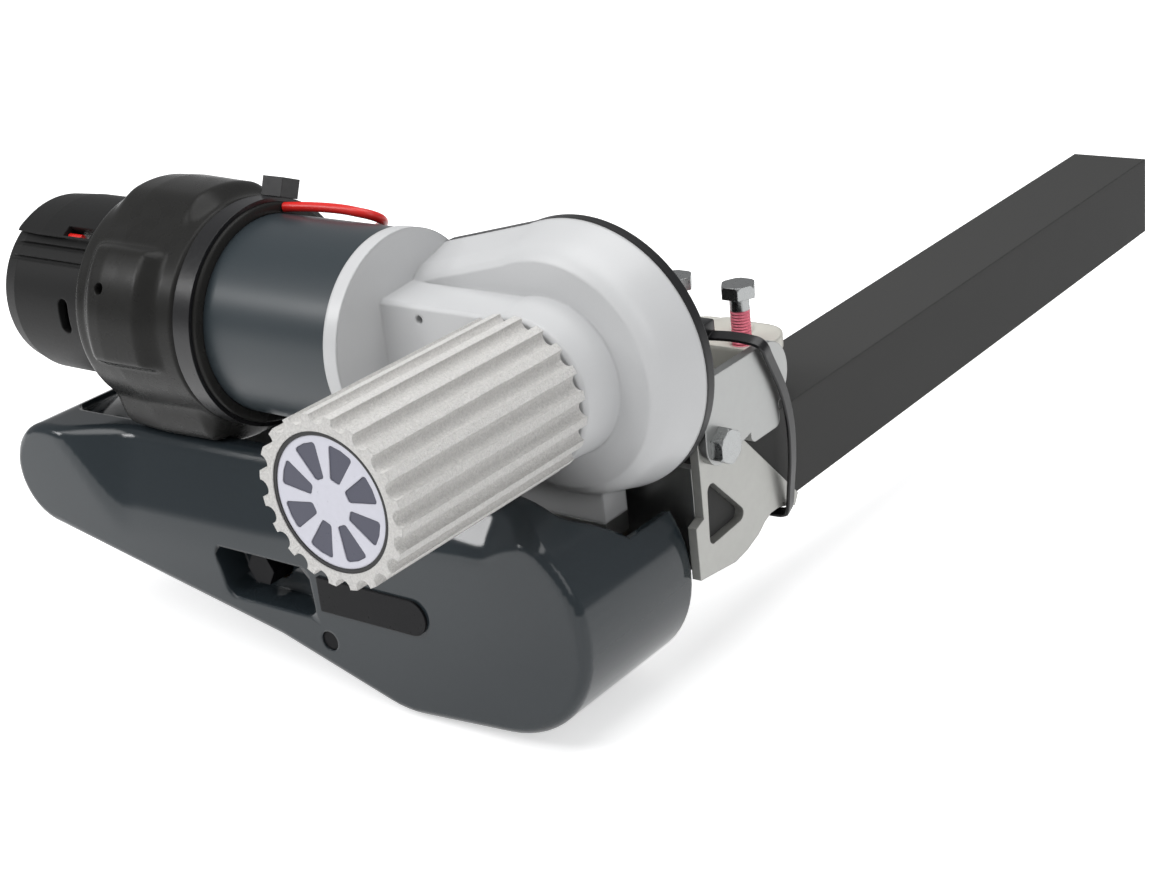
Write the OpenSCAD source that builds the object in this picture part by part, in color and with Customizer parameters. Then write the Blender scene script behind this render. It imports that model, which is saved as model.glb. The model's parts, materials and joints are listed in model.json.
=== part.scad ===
// Motor mover for a caravan wheel. A geared motor turns a toothed friction roller.
// The drive hangs on a carrier that a hand spindle and cam swing towards the tyre,
// and a clamp and a square crossbar hold the frame to the chassis.
// Millimetres. Origin: middle of the clamp's chassis slot, on its seat.
// +X points to the tyre, +Y inboard along the crossbar, +Z up.
// Modules work in the drive frame, whose origin is the centre of the roller's outer
// face, with the roller along +Y and the motor along X. from_seat() moves them.

/* [Chassis clamp] */
// Slot middle from the roller axis, towards the tyre
seat_x = 10; // [8:0.5:12]
// Slot middle behind the roller's outer face
seat_y = 225; // [223:0.5:229]
// Seat height from the roller axis
seat_z = -27; // [-28:0.25:-26]
// Height of the slot that takes the chassis flange
slot_gap = 5.5; // [4.5:0.5:8]
// Depth of the slot behind the clamp bolts
slot_depth = 18; // [14:1:24]
// Thickness of the seat plate
seat_t = 4; // [3:0.5:5]
// Thickness of the clamp jaw
jaw_t = 5.5; // [4:0.5:8]
// Distance between the clamp bolts
bolt_pitch = 30; // [26:1:32]
// Thread radius of the clamp and cross bolts
bolt_r = 4; // [3:0.5:4]
// Width across flats of the bolt heads and nuts
bolt_af = 13; // [12:0.5:14]
// Clamp bolt length that stands above the jaw
bolt_stand = 20; // [8:1:26]

/* [Crossbar] */
// Outer width of the square crossbar
bar_w = 40; // [36:1:42]
// Wall of the crossbar
bar_wall = 3; // [2:0.5:5]
// Length of the crossbar
bar_len = 437; // [300:1:600]
// Middle of the crossbar from the roller axis, towards the tyre
bar_x = 18.5; // [17:0.5:20]
// Middle of the crossbar from the roller axis, upwards
bar_z = -63.5; // [-65:0.5:-62]

/* [Frame plates] */
// Thickness of the frame plates and arms
plate_t = 4; // [3:0.5:5]
// Front of the front cheek behind the roller's outer face
cheek_y = 97; // [96:0.5:98]
// Front of the back plate behind the roller's outer face
back_y = 152; // [151:0.5:154]
// Cross bolt behind the roller's outer face
cross_y = 161.2; // [161:0.2:164]
// Cross bolt height from the roller axis
cross_z = -35.6; // [-37:0.2:-35]

/* [Roller] */
// Radius over the roller's teeth
roller_r = 31.5; // [30:0.5:33]
// Length of the roller
roller_len = 101.5; // [80:0.5:102]
// Number of roller teeth
roller_teeth = 20; // [16:1:24]
// Radius of the round grooves between the teeth
groove_r = 3.2; // [2.4:0.1:3.4]
// Depth of the grooves
groove_depth = 3.4; // [2:0.1:4]
// Radius of the end cap
cap_r = 24; // [20:0.5:25]
// Thickness of the end cap
cap_t = 4; // [3:0.5:5]
// Width of the dark rim ring round the end cap
rim_w = 1.5; // [1:0.25:2]
// Number of dark windows in the end cap
cap_windows = 8; // [6:1:10]

/* [Gear case] */
// Radius of the case at its back edge
case_r = 54.5; // [53:0.5:56]
// Inward slope of the case wall from back to front
case_draft = 7.5; // [4:0.5:10]
// Front of the large round face behind the roller's outer face
case_front = 122; // [120:0.5:124]
// Back of the casting behind the roller's outer face
case_back = 144.6; // [143:0.2:145]
// Front of the output boss behind the roller's outer face
boss_front = 103; // [102.6:0.2:104]
// Radius of the output boss
boss_r = 31; // [31:0.5:34]
// Top of the neck above the roller axis
neck_top = 30; // [29:0.5:30.5]
// Bottom of the neck from the roller axis
neck_bottom = -35; // [-36:0.5:-34]
// Thickness of the dark back cover
back_cover_t = 4.2; // [3:0.2:5]
// Thickness of the gasket
gasket_t = 0.8; // [0.5:0.1:1.2]
// Radius of the motor flange
flange_r = 41.4; // [41:0.2:44]
// Thickness of the motor flange
flange_t = 6.8; // [5:0.2:8]

/* [Motor] */
// Motor axis behind the roller's outer face
motor_y = 117.2; // [116.5:0.1:118]
// Motor axis above the roller axis
motor_z = 10.3; // [9.8:0.1:11]
// Face of the motor flange from the roller axis
flange_x = -63.4; // [-66:0.2:-63]
// Outer radius of the motor can
can_r = 40.5; // [40:0.25:41]
// Wall of the motor can
can_wall = 3; // [2:0.25:4]
// Length of the motor can
can_len = 125; // [120:1:130]
// Radius of the end bell
bell_r = 37.5; // [35:0.5:38.5]
// Length of the end bell outside the can
bell_len = 70; // [60:1:76]
// Length of the rubber boot
boot_len = 70; // [66:1:76]
// Thickness of the boot over the can
boot_t = 6; // [5:0.5:7]
// Length of the boot past the end of the can
boot_over = 9.8; // [8:0.2:12]
// Width of the cable ties
tie_w = 9; // [6:0.5:10]
// Thickness of the cable ties
tie_t = 1.5; // [1:0.1:2]
// Radius of the motor lead
lead_r = 2; // [1.5:0.1:2.2]

/* [Gear train] */
// Tooth module of the pinion and the output gear
spur_module = 2; // [1.9:0.05:2.05]
// Teeth of the pinion
pinion_teeth = 10; // [9:1:11]
// Teeth of the output gear
output_teeth = 34; // [32:1:34]
// Face width of the output gear
gear_w = 11; // [8:0.5:12]
// Axial module of the worm and its wheel
worm_module = 1.5; // [1.4:0.05:1.55]
// Teeth of the worm wheel
wheel_teeth = 20; // [19:1:20]
// Face width of the worm wheel
wheel_w = 8; // [6:0.5:9]
// Pitch radius of the worm
worm_pitch_r = 8; // [7.6:0.1:8.2]
// Radius of the motor shaft
motor_shaft_r = 4.5; // [4:0.1:4.6]
// Radius of the output shaft
output_shaft_r = 9; // [8:0.25:9.5]
// Radius of the idler shaft
idler_r = 5; // [4:0.25:5.5]

/* [Swing] */
// Swing pivot from the roller axis, towards the tyre
pivot_x = -8; // [-9:0.5:-7]
// Swing pivot from the roller axis, upwards
pivot_z = -85; // [-86:0.5:-84.5]
// Swing from parked to driving
swing_deg = 13; // [8:0.5:13]
// Radius of the pivot shaft
pivot_r = 9; // [7:0.5:9.5]
// Radius of the carrier's hub
hub_r = 14.5; // [14:0.5:15]
// Distance from the pivot to the hand spindle
spindle_reach = 124; // [122:0.5:126]
// Drop of the hand spindle below the pivot
spindle_drop = 4; // [3:0.5:5]
// Radius of the hand spindle
spindle_r = 7; // [6:0.25:7]
// Width across flats of the hand spindle's hexagon
spindle_af = 13; // [10:0.5:13]
// Turn of the hand spindle over the whole swing
cam_turn = 100; // [90:5:120]
// Lowest radius of the cam
cam_low_r = 9.5; // [9:0.25:10]

/* [Lower cover] */
// Front of the cover behind the roller's outer face
cover_y = 77; // [75:0.5:80]
// Back edge of the cover behind the roller's outer face
cover_back = 146; // [140:0.5:148]
// Wall of the cover
cover_wall = 3; // [2.5:0.25:3]
// Radius of the rounded front edge
cover_edge = 4.5; // [4:0.5:9]
// Radius of the round end at the pivot
cover_end_r = 46.5; // [46:0.5:49]
// Radius of the nose under the motor's end
nose_r = 24; // [23:0.5:25]
// Nose from the roller axis, away from the tyre
nose_x = -250; // [-252:0.5:-248]
// Nose from the roller axis, upwards
nose_z = -66; // [-67:0.5:-65.5]
// Depth of the tool recess
recess_depth = 15; // [12:0.5:15]

/* [Hidden] */
$fn = 64;
hull_fn = 32;
disc_fn = 64;
run_gap = 0.05;
loose_gap = 0.3;
cut = 1;

// Gear train: the worm lies over the wheel, whose pinion drives the output gear
worm_distance = worm_pitch_r + worm_module * wheel_teeth / 2;
spur_distance = spur_module * (pinion_teeth + output_teeth) / 2;
idler_z = motor_z - worm_distance;
idler_x = -sqrt(spur_distance * spur_distance - idler_z * idler_z);
mesh_angle = atan2(-idler_z, -idler_x);
worm_lead = PI * worm_module;
worm_turns = 5;
worm_half = worm_turns * worm_lead / 2;
tooth_add = 0.9;
tooth_ded = 1.15;
flank = 20;
backlash = 0.32;
gear_y0 = 127.5;
gear_y1 = gear_y0 + gear_w;
wheel_y0 = motor_y - wheel_w / 2;
gear_room = 1.8;
output_tip = spur_module * (output_teeth / 2 + tooth_add);
pinion_tip = spur_module * (pinion_teeth / 2 + tooth_add);
wheel_tip = worm_module * (wheel_teeth / 2 + tooth_add);
chamber_y = gear_y0 - 1;
bearing_t = 7;
cover_y0 = case_back + gasket_t;
cover_y1 = cover_y0 + back_cover_t;
rear_boss_y = gear_y1 + 2;
rear_bearing_y1 = cover_y1 - 2;
output_bearing_r = output_shaft_r + 8;
idler_bush_r = idler_r + 2.5;
seal_y1 = boss_front + 5;
front_bearing_y1 = seal_y1 + 9;

// The roller's inner end clears the gear case, and its outer end follows its length
roller_gap = 1.5;
roller_in = boss_front - roller_gap;
roller_out = roller_in - roller_len;

// Motor, from the flange to the end bell
can_x1 = flange_x - flange_t;
can_x0 = can_x1 - can_len;
bell_x0 = can_x0 - bell_len;
spigot = 4;
motor_bearing_r = motor_shaft_r + 6.5;
worm_bearing_r = worm_pitch_r + worm_module * tooth_add + 0.5;
worm_bearing_x1 = idler_x + worm_half + 8;
magnet_in = can_r - can_wall - 6;
armature_r = magnet_in - 1;
core_x1 = can_x1 - 32;
core_x0 = can_x0 + 30;
winding_len = 12;
commutator_r = 13;
commutator_x0 = can_x0 - 15;
commutator_x1 = can_x0 + 3;
rear_bearing_x0 = bell_x0 + 9;
terminal_turn = 56;

// Boot and its tie, on the end of the can
boot_in = can_r + 0.1;
boot_out = can_r + boot_t;
boot_x0 = can_x0 - boot_over;
boot_x1 = boot_x0 + boot_len;
tie_x1 = boot_x1 - 1.5;
pad_rise = 5;
pad_at = 164;
lead_route = [
    [-134.5, 130.5, 51.2], [-128, 131.5, 51.6], [-121, 132, 52], [-112, 132.6, 52.2], [-104, 133.2, 52],
    [-98, 134.6, 51], [-94.5, 137, 49.6], [-93.2, 140.2, 47.6], [-94.2, 143.6, 45.2], [-97.3, 146.6, 42.8],
    [-102, 149.3, 40.2], [-108, 151.6, 37.4], [-115, 153.6, 34.6], [-124, 155.2, 32], [-134.4, 156.2, 30]
];
lead_sides = 8;

// Swing: the hand spindle's cam lifts the carrier's arm
spindle_x = pivot_x - sqrt(spindle_reach * spindle_reach - spindle_drop * spindle_drop);
spindle_z = pivot_z - spindle_drop;
cam_lift = (pivot_x - spindle_x) * sin(swing_deg) - spindle_drop * (1 - cos(swing_deg));
cam_rate = cam_lift / ((cam_turn + swing_deg) * PI / 180);
cam_span = cam_turn + swing_deg / 3;
cam_y0 = cheek_y + plate_t + 3;
cam_t = 12;
arm_z = spindle_z + cam_low_r + loose_gap;
arm_h = 8.5;
arm_x0 = spindle_x + cam_rate - 12;
hub_y0 = cheek_y + plate_t + 2;
hub_y1 = cover_y1 - 1.5;
bush_wall = 2.5;
foot_x0 = -36;
foot_x1 = 12;
foot_z = -62;
foot_y0 = case_front + 8;
foot_y1 = case_back;
carrier_pad = 8;
carrier_screw_r = 4;
carrier_screw_x = [foot_x0 + 9, foot_x1 - 9];
sweep_room = 2.5;
side_sink = 0.5;

// Lower cover outline: nose, middle, belly and round end
mid_circle = [-112, -78, 39];
belly_circle = [-52, -90, 45];
recess_x0 = spindle_x - 22;
recess_x1 = spindle_x + 33;
recess_z0 = spindle_z - 13;
recess_z1 = spindle_z + 9;
recess_slant = 6;
plate_top = -46;
screw_x = -93;
screw_z = -111;
rod_r = 4.5;
nose_post_r = 6;
opening_y = cheek_y + 1;
badge_x0 = recess_x1 + 5;
badge_len = 56;
badge_h = 15;
badge_z = -97;
badge_t = 1.2;

// Clamp and crossbar, from the seat
seat_top = seat_z;
arm_out_x = bar_x + bar_w / 2 + plate_t;
arm_far_x = bar_x - bar_w / 2 - plate_t;
bolt_y = seat_y - 11;
bolt_x = [seat_x - bolt_pitch / 2, seat_x + bolt_pitch / 2];
jaw_back = bolt_y + 5 + slot_depth;
jaw_half = bolt_pitch / 2 + 11;
heel_len = 2;
jaw_round = 14;
jaw_dome = 4;
jaw_top = seat_top + slot_gap + jaw_t;
head_t = 5.3;
nut_t = 6.5;
heel_y = bolt_y - 6.5;
seat_y0 = bolt_y - 7;
arm_end = [seat_y - 33, seat_z + 5.5];
arm_end_r = 14;
bar_y0 = back_y + plate_t;

// A cylinder along X, Y or Z
module rod_x(r, x0, x1, y = 0, z = 0) translate([x0, y, z]) rotate([0, 90, 0]) cylinder(r = r, h = x1 - x0);
module rod_y(r, y0, y1, x = 0, z = 0) translate([x, y0, z]) rotate([-90, 0, 0]) cylinder(r = r, h = y1 - y0);
module rod_z(r, z0, z1, x = 0, y = 0) translate([x, y, z0]) cylinder(r = r, h = z1 - z0);

// A flat outline drawn in Y and Z, drawn out along X, or in X and Z along Y
module along_x(x0, x1) translate([x0, 0, 0]) rotate([90, 0, 90]) linear_extrude(x1 - x0) children();
module along_y(y0, y1) translate([0, y1, 0]) rotate([90, 0, 0]) linear_extrude(y1 - y0) children();

// A half profile of [radius, x] turned about the motor axis
module turned_x(profile) translate([0, motor_y, motor_z]) rotate([0, 90, 0])
    rotate_extrude() polygon(profile);

// A ring along X or Y
module ring_x(r0, r1, x0, x1, y = motor_y, z = motor_z) difference() {
    rod_x(r1, x0, x1, y, z);
    rod_x(r0, x0 - cut, x1 + cut, y, z);
}
module ring_y(r0, r1, y0, y1, x = 0, z = 0) difference() {
    rod_y(r1, y0, y1, x, z);
    rod_y(r0, y0 - cut, y1 + cut, x, z);
}

// Moves the drive frame to the clamp seat
module from_seat() translate([-seat_x, -seat_y, -seat_z]) children();

// Hexagon prism across flats, along Z
module hex_z(af, h) cylinder(r = af / sqrt(3), h = h, $fn = 6);

function polar(r, a) = [r * cos(a), r * sin(a)];

// Straight-flanked tooth outline, first tooth at the angle start
function gear_outline(teeth, m, start) = let (
    pitch = teeth * m / 2,
    tip = pitch + tooth_add * m,
    root = pitch - tooth_ded * m,
    half = PI * m / 4 - backlash,
    tip_a = asin((half - tooth_add * m * tan(flank)) / tip),
    root_a = asin((half + tooth_ded * m * tan(flank)) / root)
) [for (i = [0 : teeth - 1]) let (a = start + 360 * i / teeth)
    each [polar(root, a - root_a), polar(tip, a - tip_a), polar(tip, a + tip_a), polar(root, a + root_a)]];

// A closed skin over a row of rings that have the same number of points
module skin(rings) {
    n = len(rings[0]);
    last = len(rings) - 1;
    sides = [for (i = [0 : last - 1], j = [0 : n - 1]) let (k = (j + 1) % n)
        each [[i * n + j, i * n + n + j, i * n + n + k], [i * n + j, i * n + n + k, i * n + k]]];
    caps = [[for (j = [0 : n - 1]) j], [for (j = [n - 1 : -1 : 0]) last * n + j]];
    polyhedron(points = [for (ring = rings) each ring], faces = concat(caps, sides));
}
function unit(v) = v / norm(v);
function tube_rings(route, r, sides, up) = [for (i = [0 : len(route) - 1]) let (
    t = unit(route[min(i + 1, len(route) - 1)] - route[max(i - 1, 0)]),
    a = unit(cross(up, t)),
    b = cross(t, a)
) [for (j = [0 : sides - 1]) route[i] + r * (cos(360 * j / sides) * a + sin(360 * j / sides) * b)]];

// Frame: front cheek, back plate and the web that joins them
module frame_outline(wide) {
    hull() {
        translate([pivot_x, pivot_z]) circle(hub_r + 7);
        translate([spindle_x, spindle_z]) circle(spindle_r + 7);
    }
    hull() {
        translate([spindle_x, spindle_z]) circle(spindle_r + 7);
        translate([screw_x, screw_z]) circle(rod_r + 2.5);
    }
    if (wide) hull() {
        translate([pivot_x, pivot_z]) circle(hub_r + 14);
        translate([bar_x - bar_w / 2, bar_z - bar_w / 2]) square(bar_w);
    } else hull() {
        translate([spindle_x, spindle_z]) circle(spindle_r + 7);
        translate([nose_x + 18, nose_z + 4]) circle(nose_post_r + 3);
    }
    if (wide) translate([nose_x, spindle_z + 6]) square([pivot_x - 28 - nose_x, plate_top - spindle_z - 6]);
}
module base_frame() color("gainsboro") from_seat() difference() {
    union() {
        along_y(cheek_y, cheek_y + plate_t) frame_outline(false);
        along_y(back_y, back_y + plate_t) frame_outline(true);
        translate([pivot_x - 32, cheek_y + plate_t - 0.5, pivot_z - 33])
            cube([56, back_y - cheek_y - plate_t + 1, plate_t]);
        for (y = [cheek_y, back_y]) translate([pivot_x - 32, y, pivot_z - 33]) cube([56, plate_t, 20]);
    }
    rod_y(pivot_r, cheek_y - cut, back_y + plate_t + cut, pivot_x, pivot_z);
    rod_y(spindle_r + 2, cheek_y - cut, back_y + plate_t + cut, spindle_x, spindle_z);
    rod_y(rod_r, cheek_y - cut, back_y + plate_t + cut, screw_x, screw_z);
    rod_y(2.5, cheek_y - cut, cheek_y + plate_t + cut, nose_x + 18, nose_z + 4);
}

// Gusset beside the crossbar, with its window and the lug for the cross bolt
module gusset_outline() {
    low = bar_z - bar_w / 2;
    polygon([
        [cover_back + 0.5, low - 4], [back_y + 19, low - 7], [back_y + 28, low - 5.6],
        [back_y + 37, low - 2.6], [back_y + 42, low + 0.6], [back_y + 47, low + 2.4],
        [back_y + 53, low + 2.2], [back_y + 59, low + 0.4], [back_y + 65, low - 2],
        [back_y + 68, low + 2.5], [back_y + 30, cross_z - 6],
        [cross_y + 12, cross_z + 4], [cross_y - 5, cross_z + 10], [back_y, cross_z + 4],
        [back_y, low + 20], [cover_back + 0.5, low + 18]
    ]);
    translate([cross_y, cross_z]) circle(9);
}
module gusset_window() offset(r = 3, $fn = hull_fn) offset(delta = -3) polygon([
    [back_y + 4, cross_z - 12], [back_y + 31, bar_z - 11], [back_y + 2.5, bar_z - 13]
]);
module gusset_plate() color("silver") from_seat() difference() {
    along_x(bar_x + bar_w / 2, arm_out_x) difference() {
        gusset_outline();
        gusset_window();
    }
    rod_x(bolt_r + 0.2, bar_x, arm_out_x + cut, cross_y, cross_z);
}
module far_gusset() color("silver") from_seat() difference() {
    along_x(arm_far_x, bar_x - bar_w / 2) {
        translate([back_y + plate_t, bar_z - 10]) square([32, bar_w / 2 + 10]);
        intersection() {
            hull() {
                translate([cross_y, cross_z]) circle(9);
                translate([back_y + plate_t, bar_z]) square([24, bar_w / 2]);
            }
            translate([back_y + plate_t, bar_z]) square(60);
        }
    }
    rod_x(bolt_r + 0.2, arm_far_x - cut, bar_x, cross_y, cross_z);
}
// The two broad arms that carry the seat. The near one is longer and has a lug
module arm_outline(longer) hull() {
    translate([cross_y, cross_z + 1]) circle(9);
    translate([cross_y - 4, arm_end[1] + arm_end_r - 5]) circle(5, $fn = hull_fn);
    translate(arm_end + [longer, 0]) circle(arm_end_r);
}
module clamp_arms() color("whitesmoke") from_seat() difference() {
    union() {
        along_x(arm_far_x - plate_t, arm_far_x) arm_outline(0);
        along_x(arm_out_x, arm_out_x + plate_t) {
            arm_outline(6);
            offset(r = 3, $fn = hull_fn) offset(delta = -3)
                translate([arm_end[0] - 9, arm_end[1] - 22.5]) square([21, 20]);
        }
    }
    rod_x(bolt_r + 0.2, arm_far_x - plate_t - cut, arm_out_x + plate_t + cut, cross_y, cross_z);
}
module seat_plate() color("silver") from_seat() difference() {
    union() {
        translate([arm_far_x, seat_y - 39, seat_top - seat_t])
            cube([arm_out_x - arm_far_x, seat_y0 - seat_y + 39.5, seat_t]);
        translate([0, 0, seat_top - seat_t]) linear_extrude(seat_t) jaw_plan(seat_y0);
    }
    for (x = bolt_x) rod_z(bolt_r + 0.2, seat_top - seat_t - cut, seat_top + cut, x, bolt_y);
}
// Plan of the jaw and of the seat under it, with a rounded back
module jaw_plan(front) hull() {
    translate([seat_x - jaw_half, front]) square([2 * jaw_half, heel_len]);
    for (s = [-1, 1]) translate([seat_x + s * (jaw_half - jaw_round), jaw_back - jaw_round])
        circle(jaw_round);
}
module crossbar() color("#2e2f31") from_seat() difference() {
    translate([bar_x - bar_w / 2, bar_y0, bar_z - bar_w / 2]) cube([bar_w, bar_len, bar_w]);
    translate([bar_x - bar_w / 2 + bar_wall, bar_y0 - cut, bar_z - bar_w / 2 + bar_wall])
        cube([bar_w - 2 * bar_wall, bar_len + 2 * cut, bar_w - 2 * bar_wall]);
}
// Jaw with a heel in front of the bolts and a rounded lip over the chassis flange
module clamp_jaw() color("#dcd9cf") from_seat() difference() {
    union() {
        translate([0, 0, seat_top + slot_gap]) linear_extrude(jaw_t) jaw_plan(heel_y);
        translate([seat_x - jaw_half, heel_y, seat_top]) cube([2 * jaw_half, heel_len, slot_gap + cut]);
        translate([seat_x, jaw_back - jaw_round + 1, jaw_top - cut]) rotate_extrude() polygon(concat([[0, 0]],
            [for (t = [0 : 15 : 90]) [(jaw_round - 2) * cos(t), cut + jaw_dome * sin(t)]]));
    }
    for (x = bolt_x) rod_z(bolt_r + 0.4, seat_top - cut, jaw_top + jaw_dome + cut, x, bolt_y);
}
module clamp_bolts() color("lightgray") from_seat() for (x = bolt_x) {
    rod_z(bolt_r, seat_top - seat_t - nut_t - 3, jaw_top + bolt_stand, x, bolt_y);
    translate([x, bolt_y, jaw_top + bolt_stand]) intersection() {
        hex_z(bolt_af, head_t);
        cylinder(r1 = bolt_af / 2 + 2.6, r2 = bolt_af / 2 + 0.4, h = head_t);
    }
}
module clamp_nuts() color("lightgray") from_seat() for (x = bolt_x)
    translate([x, bolt_y, seat_top - seat_t - nut_t]) difference() {
        hex_z(bolt_af, nut_t);
        translate([0, 0, -cut]) cylinder(r = bolt_r, h = nut_t + 2 * cut);
    }
module cross_bolt() color("lightgray") from_seat() {
    rod_x(bolt_r, arm_far_x - plate_t - nut_t - 3, arm_out_x + plate_t, cross_y, cross_z);
    translate([arm_out_x + plate_t, cross_y, cross_z]) rotate([0, 90, 0]) intersection() {
        hex_z(bolt_af, head_t);
        cylinder(r1 = bolt_af / 2 + 2.6, r2 = bolt_af / 2 + 0.4, h = head_t);
    }
}
module cross_nut() color("lightgray") from_seat() translate([arm_far_x - plate_t, cross_y, cross_z])
    rotate([0, -90, 0]) difference() {
        hex_z(bolt_af, nut_t);
        translate([0, 0, -cut]) cylinder(r = bolt_r, h = nut_t + 2 * cut);
    }

// Lower cover: a rounded trough under the motor, open behind and under the gear case
module cover_disc(c, grow, y0) {
    e = max(cover_edge + grow, 1);
    translate([c[0], y0, c[1]]) rotate([-90, 0, 0]) {
        rotate_extrude($fn = disc_fn) {
            translate([c[2] + grow - e, e]) intersection() {
                circle(e, $fn = 20);
                translate([0, -e]) square(e);
            }
            square([c[2] + grow - e, e]);
        }
        translate([0, 0, e - 0.01]) cylinder(r = c[2] + grow, h = cover_back - y0 - e, $fn = disc_fn);
    }
}
module cover_body(grow, y0) {
    nose = [nose_x, nose_z, nose_r];
    end = [pivot_x, pivot_z, cover_end_r];
    hull() {
        cover_disc(nose, grow, y0);
        cover_disc(mid_circle, grow, y0);
    }
    hull() {
        cover_disc(mid_circle, grow, y0);
        cover_disc(belly_circle, grow, y0);
        cover_disc(end, grow, y0);
    }
}
module recess_outline(grow) offset(delta = grow) polygon([
    [recess_x0, recess_z1], [recess_x0 + recess_slant, recess_z0],
    [recess_x1, recess_z0], [recess_x1, recess_z1]
]);
// Room that the gear case sweeps as the drive swings
module case_sweep() for (a = [0, swing_deg / 2, swing_deg])
    translate([pivot_x, 0, pivot_z]) rotate([0, a, 0]) translate([-pivot_x, 0, -pivot_z])
        rod_y(case_r + sweep_room, case_front - sweep_room, cover_back + cut);
// Long opening in the top, behind a lip
module cover_opening() translate([0, 0, pivot_z + 25]) linear_extrude(60) offset(r = 8) offset(delta = -8)
    translate([nose_x - 4, opening_y]) square([foot_x1 + 12 - nose_x, cover_back]);
module lower_cover() color("#484d50") from_seat() difference() {
    union() {
        difference() {
            cover_body(0, cover_y);
            translate([0, cut, 0]) cover_body(-cover_wall, cover_y + cover_wall - cut);
            along_y(cover_y - cut, cover_y + cover_wall + cut) recess_outline(0);
        }
        difference() {
            along_y(cover_y + 1, cover_y + recess_depth + cover_wall) recess_outline(cover_wall);
            along_y(cover_y, cover_y + recess_depth) recess_outline(0);
        }
        rod_y(nose_post_r, cover_y + 1, cheek_y, nose_x + 18, nose_z + 4);
    }
    rod_y(spindle_af / sqrt(3) + 1, cover_y, cover_y + recess_depth + cover_wall + cut, spindle_x, spindle_z);
    rod_y(4.3, cover_y - cut, cover_y + cover_wall + cut, screw_x, screw_z);
    rod_y(2, cover_y + 6, cheek_y + cut, nose_x + 18, nose_z + 4);
    cover_opening();
    case_sweep();
}
module badge_plate() color("#1c1c1d") from_seat() along_y(cover_y - badge_t, cover_y) {
    translate([badge_x0, badge_z]) square([badge_len - badge_h / 2, badge_h]);
    translate([badge_x0 + badge_len - badge_h / 2, badge_z + badge_h / 2]) circle(badge_h / 2);
}
module cover_screws() color("#2b2b2b") from_seat() {
    rod_y(4, cover_y + 0.6, cover_y + cover_wall, screw_x, screw_z);
    rod_y(2, cover_y + cover_wall - 0.5, cover_y + cover_wall + 10, screw_x, screw_z);
    rod_y(4, cheek_y + plate_t, cheek_y + plate_t + 2.5, nose_x + 18, nose_z + 4);
    rod_y(2, cover_y + 7, cheek_y + plate_t + 0.5, nose_x + 18, nose_z + 4);
}
module tie_rod() color("silver") from_seat() difference() {
    rod_y(rod_r, cover_y + cover_wall, back_y + plate_t, screw_x, screw_z);
    rod_y(2, cover_y, cover_y + cover_wall + 11, screw_x, screw_z);
}
module pivot_shaft() color("silver") from_seat()
    rod_y(pivot_r, cheek_y - 4, back_y + plate_t, pivot_x, pivot_z);
module shaft_clip() color("dimgray") from_seat()
    ring_y(pivot_r, pivot_r + 3.5, cheek_y - 1.5, cheek_y, pivot_x, pivot_z);
module spindle_bushes() color("goldenrod") from_seat() for (y = [cheek_y, back_y])
    ring_y(spindle_r + run_gap, spindle_r + 2, y, y + plate_t, spindle_x, spindle_z);

// Cable tie over the arms and round the crossbar, with its ends in the lock
strap_r = 1.7;
strap_near = arm_out_x + plate_t + strap_r + 0.2;
strap_far = arm_far_x - plate_t - strap_r - 0.3;
strap_low = bar_z - bar_w / 2 - strap_r - 1;
strap_top = arm_end[1] + arm_end_r + strap_r + 0.3;
lock_x = 20;
strap_y = arm_end[0];
strap_route = [
    [lock_x + 1, strap_y, strap_top], [lock_x + 8, strap_y + 0.5, strap_top + 0.6],
    [lock_x + 15, strap_y + 0.8, strap_top + 0.9], [strap_near - 6, strap_y + 0.5, strap_top + 0.8],
    [strap_near - 2, strap_y + 0.5, strap_top + 0.2], [strap_near + 0.3, strap_y + 1.2, strap_top - 2],
    [strap_near + 0.3, strap_y + 3.8, strap_top - 7], [strap_near + 0.2, strap_y + 7.4, strap_top - 13.5],
    [strap_near + 0.2, strap_y + 11.2, strap_top - 21], [strap_near + 0.1, strap_y + 14.2, strap_top - 29],
    [strap_near, strap_y + 16.2, strap_top - 38], [strap_near - 0.4, strap_y + 17.2, strap_top - 47],
    [strap_near - 1.2, strap_y + 17.6, strap_top - 57], [strap_near - 2.6, strap_y + 17.8, strap_top - 67],
    [strap_near - 4.2, strap_y + 18, strap_low + 3], [strap_near - 6.5, strap_y + 18, strap_low + 0.6],
    [strap_near - 11, strap_y + 18, strap_low], [bar_x, strap_y + 17.5, strap_low],
    [arm_far_x + 6, strap_y + 16, strap_low],
    [arm_far_x + 2, strap_y + 15.5, strap_low + 0.8], [arm_far_x + 1.7, strap_y + 15.5, strap_low + 4],
    [arm_far_x + 1.5, strap_y + 15.3, strap_low + 20], [arm_far_x + 0.5, strap_y + 15, strap_low + 32],
    [arm_far_x - 3, strap_y + 14, strap_low + 42], [strap_far, strap_y + 12.5, strap_top - 26],
    [strap_far, strap_y + 11, strap_top - 18], [strap_far, strap_y + 7.5, strap_top - 9],
    [strap_far - 0.3, strap_y + 2.5, strap_top - 4.5], [strap_far - 0.3, strap_y + 0.6, strap_top - 0.8],
    [strap_far + 4, strap_y, strap_top + 0.2], [lock_x - 10, strap_y, strap_top],
    [lock_x - 1, strap_y, strap_top]
];
module arm_tie() color("#17181a") from_seat() {
    skin(tube_rings(strap_route, strap_r, lead_sides, [0.1, 1, 0.2]));
    translate([lock_x - 5, strap_y - 5, strap_top - strap_r - 0.1]) cube([10, 10, 8]);
}

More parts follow.
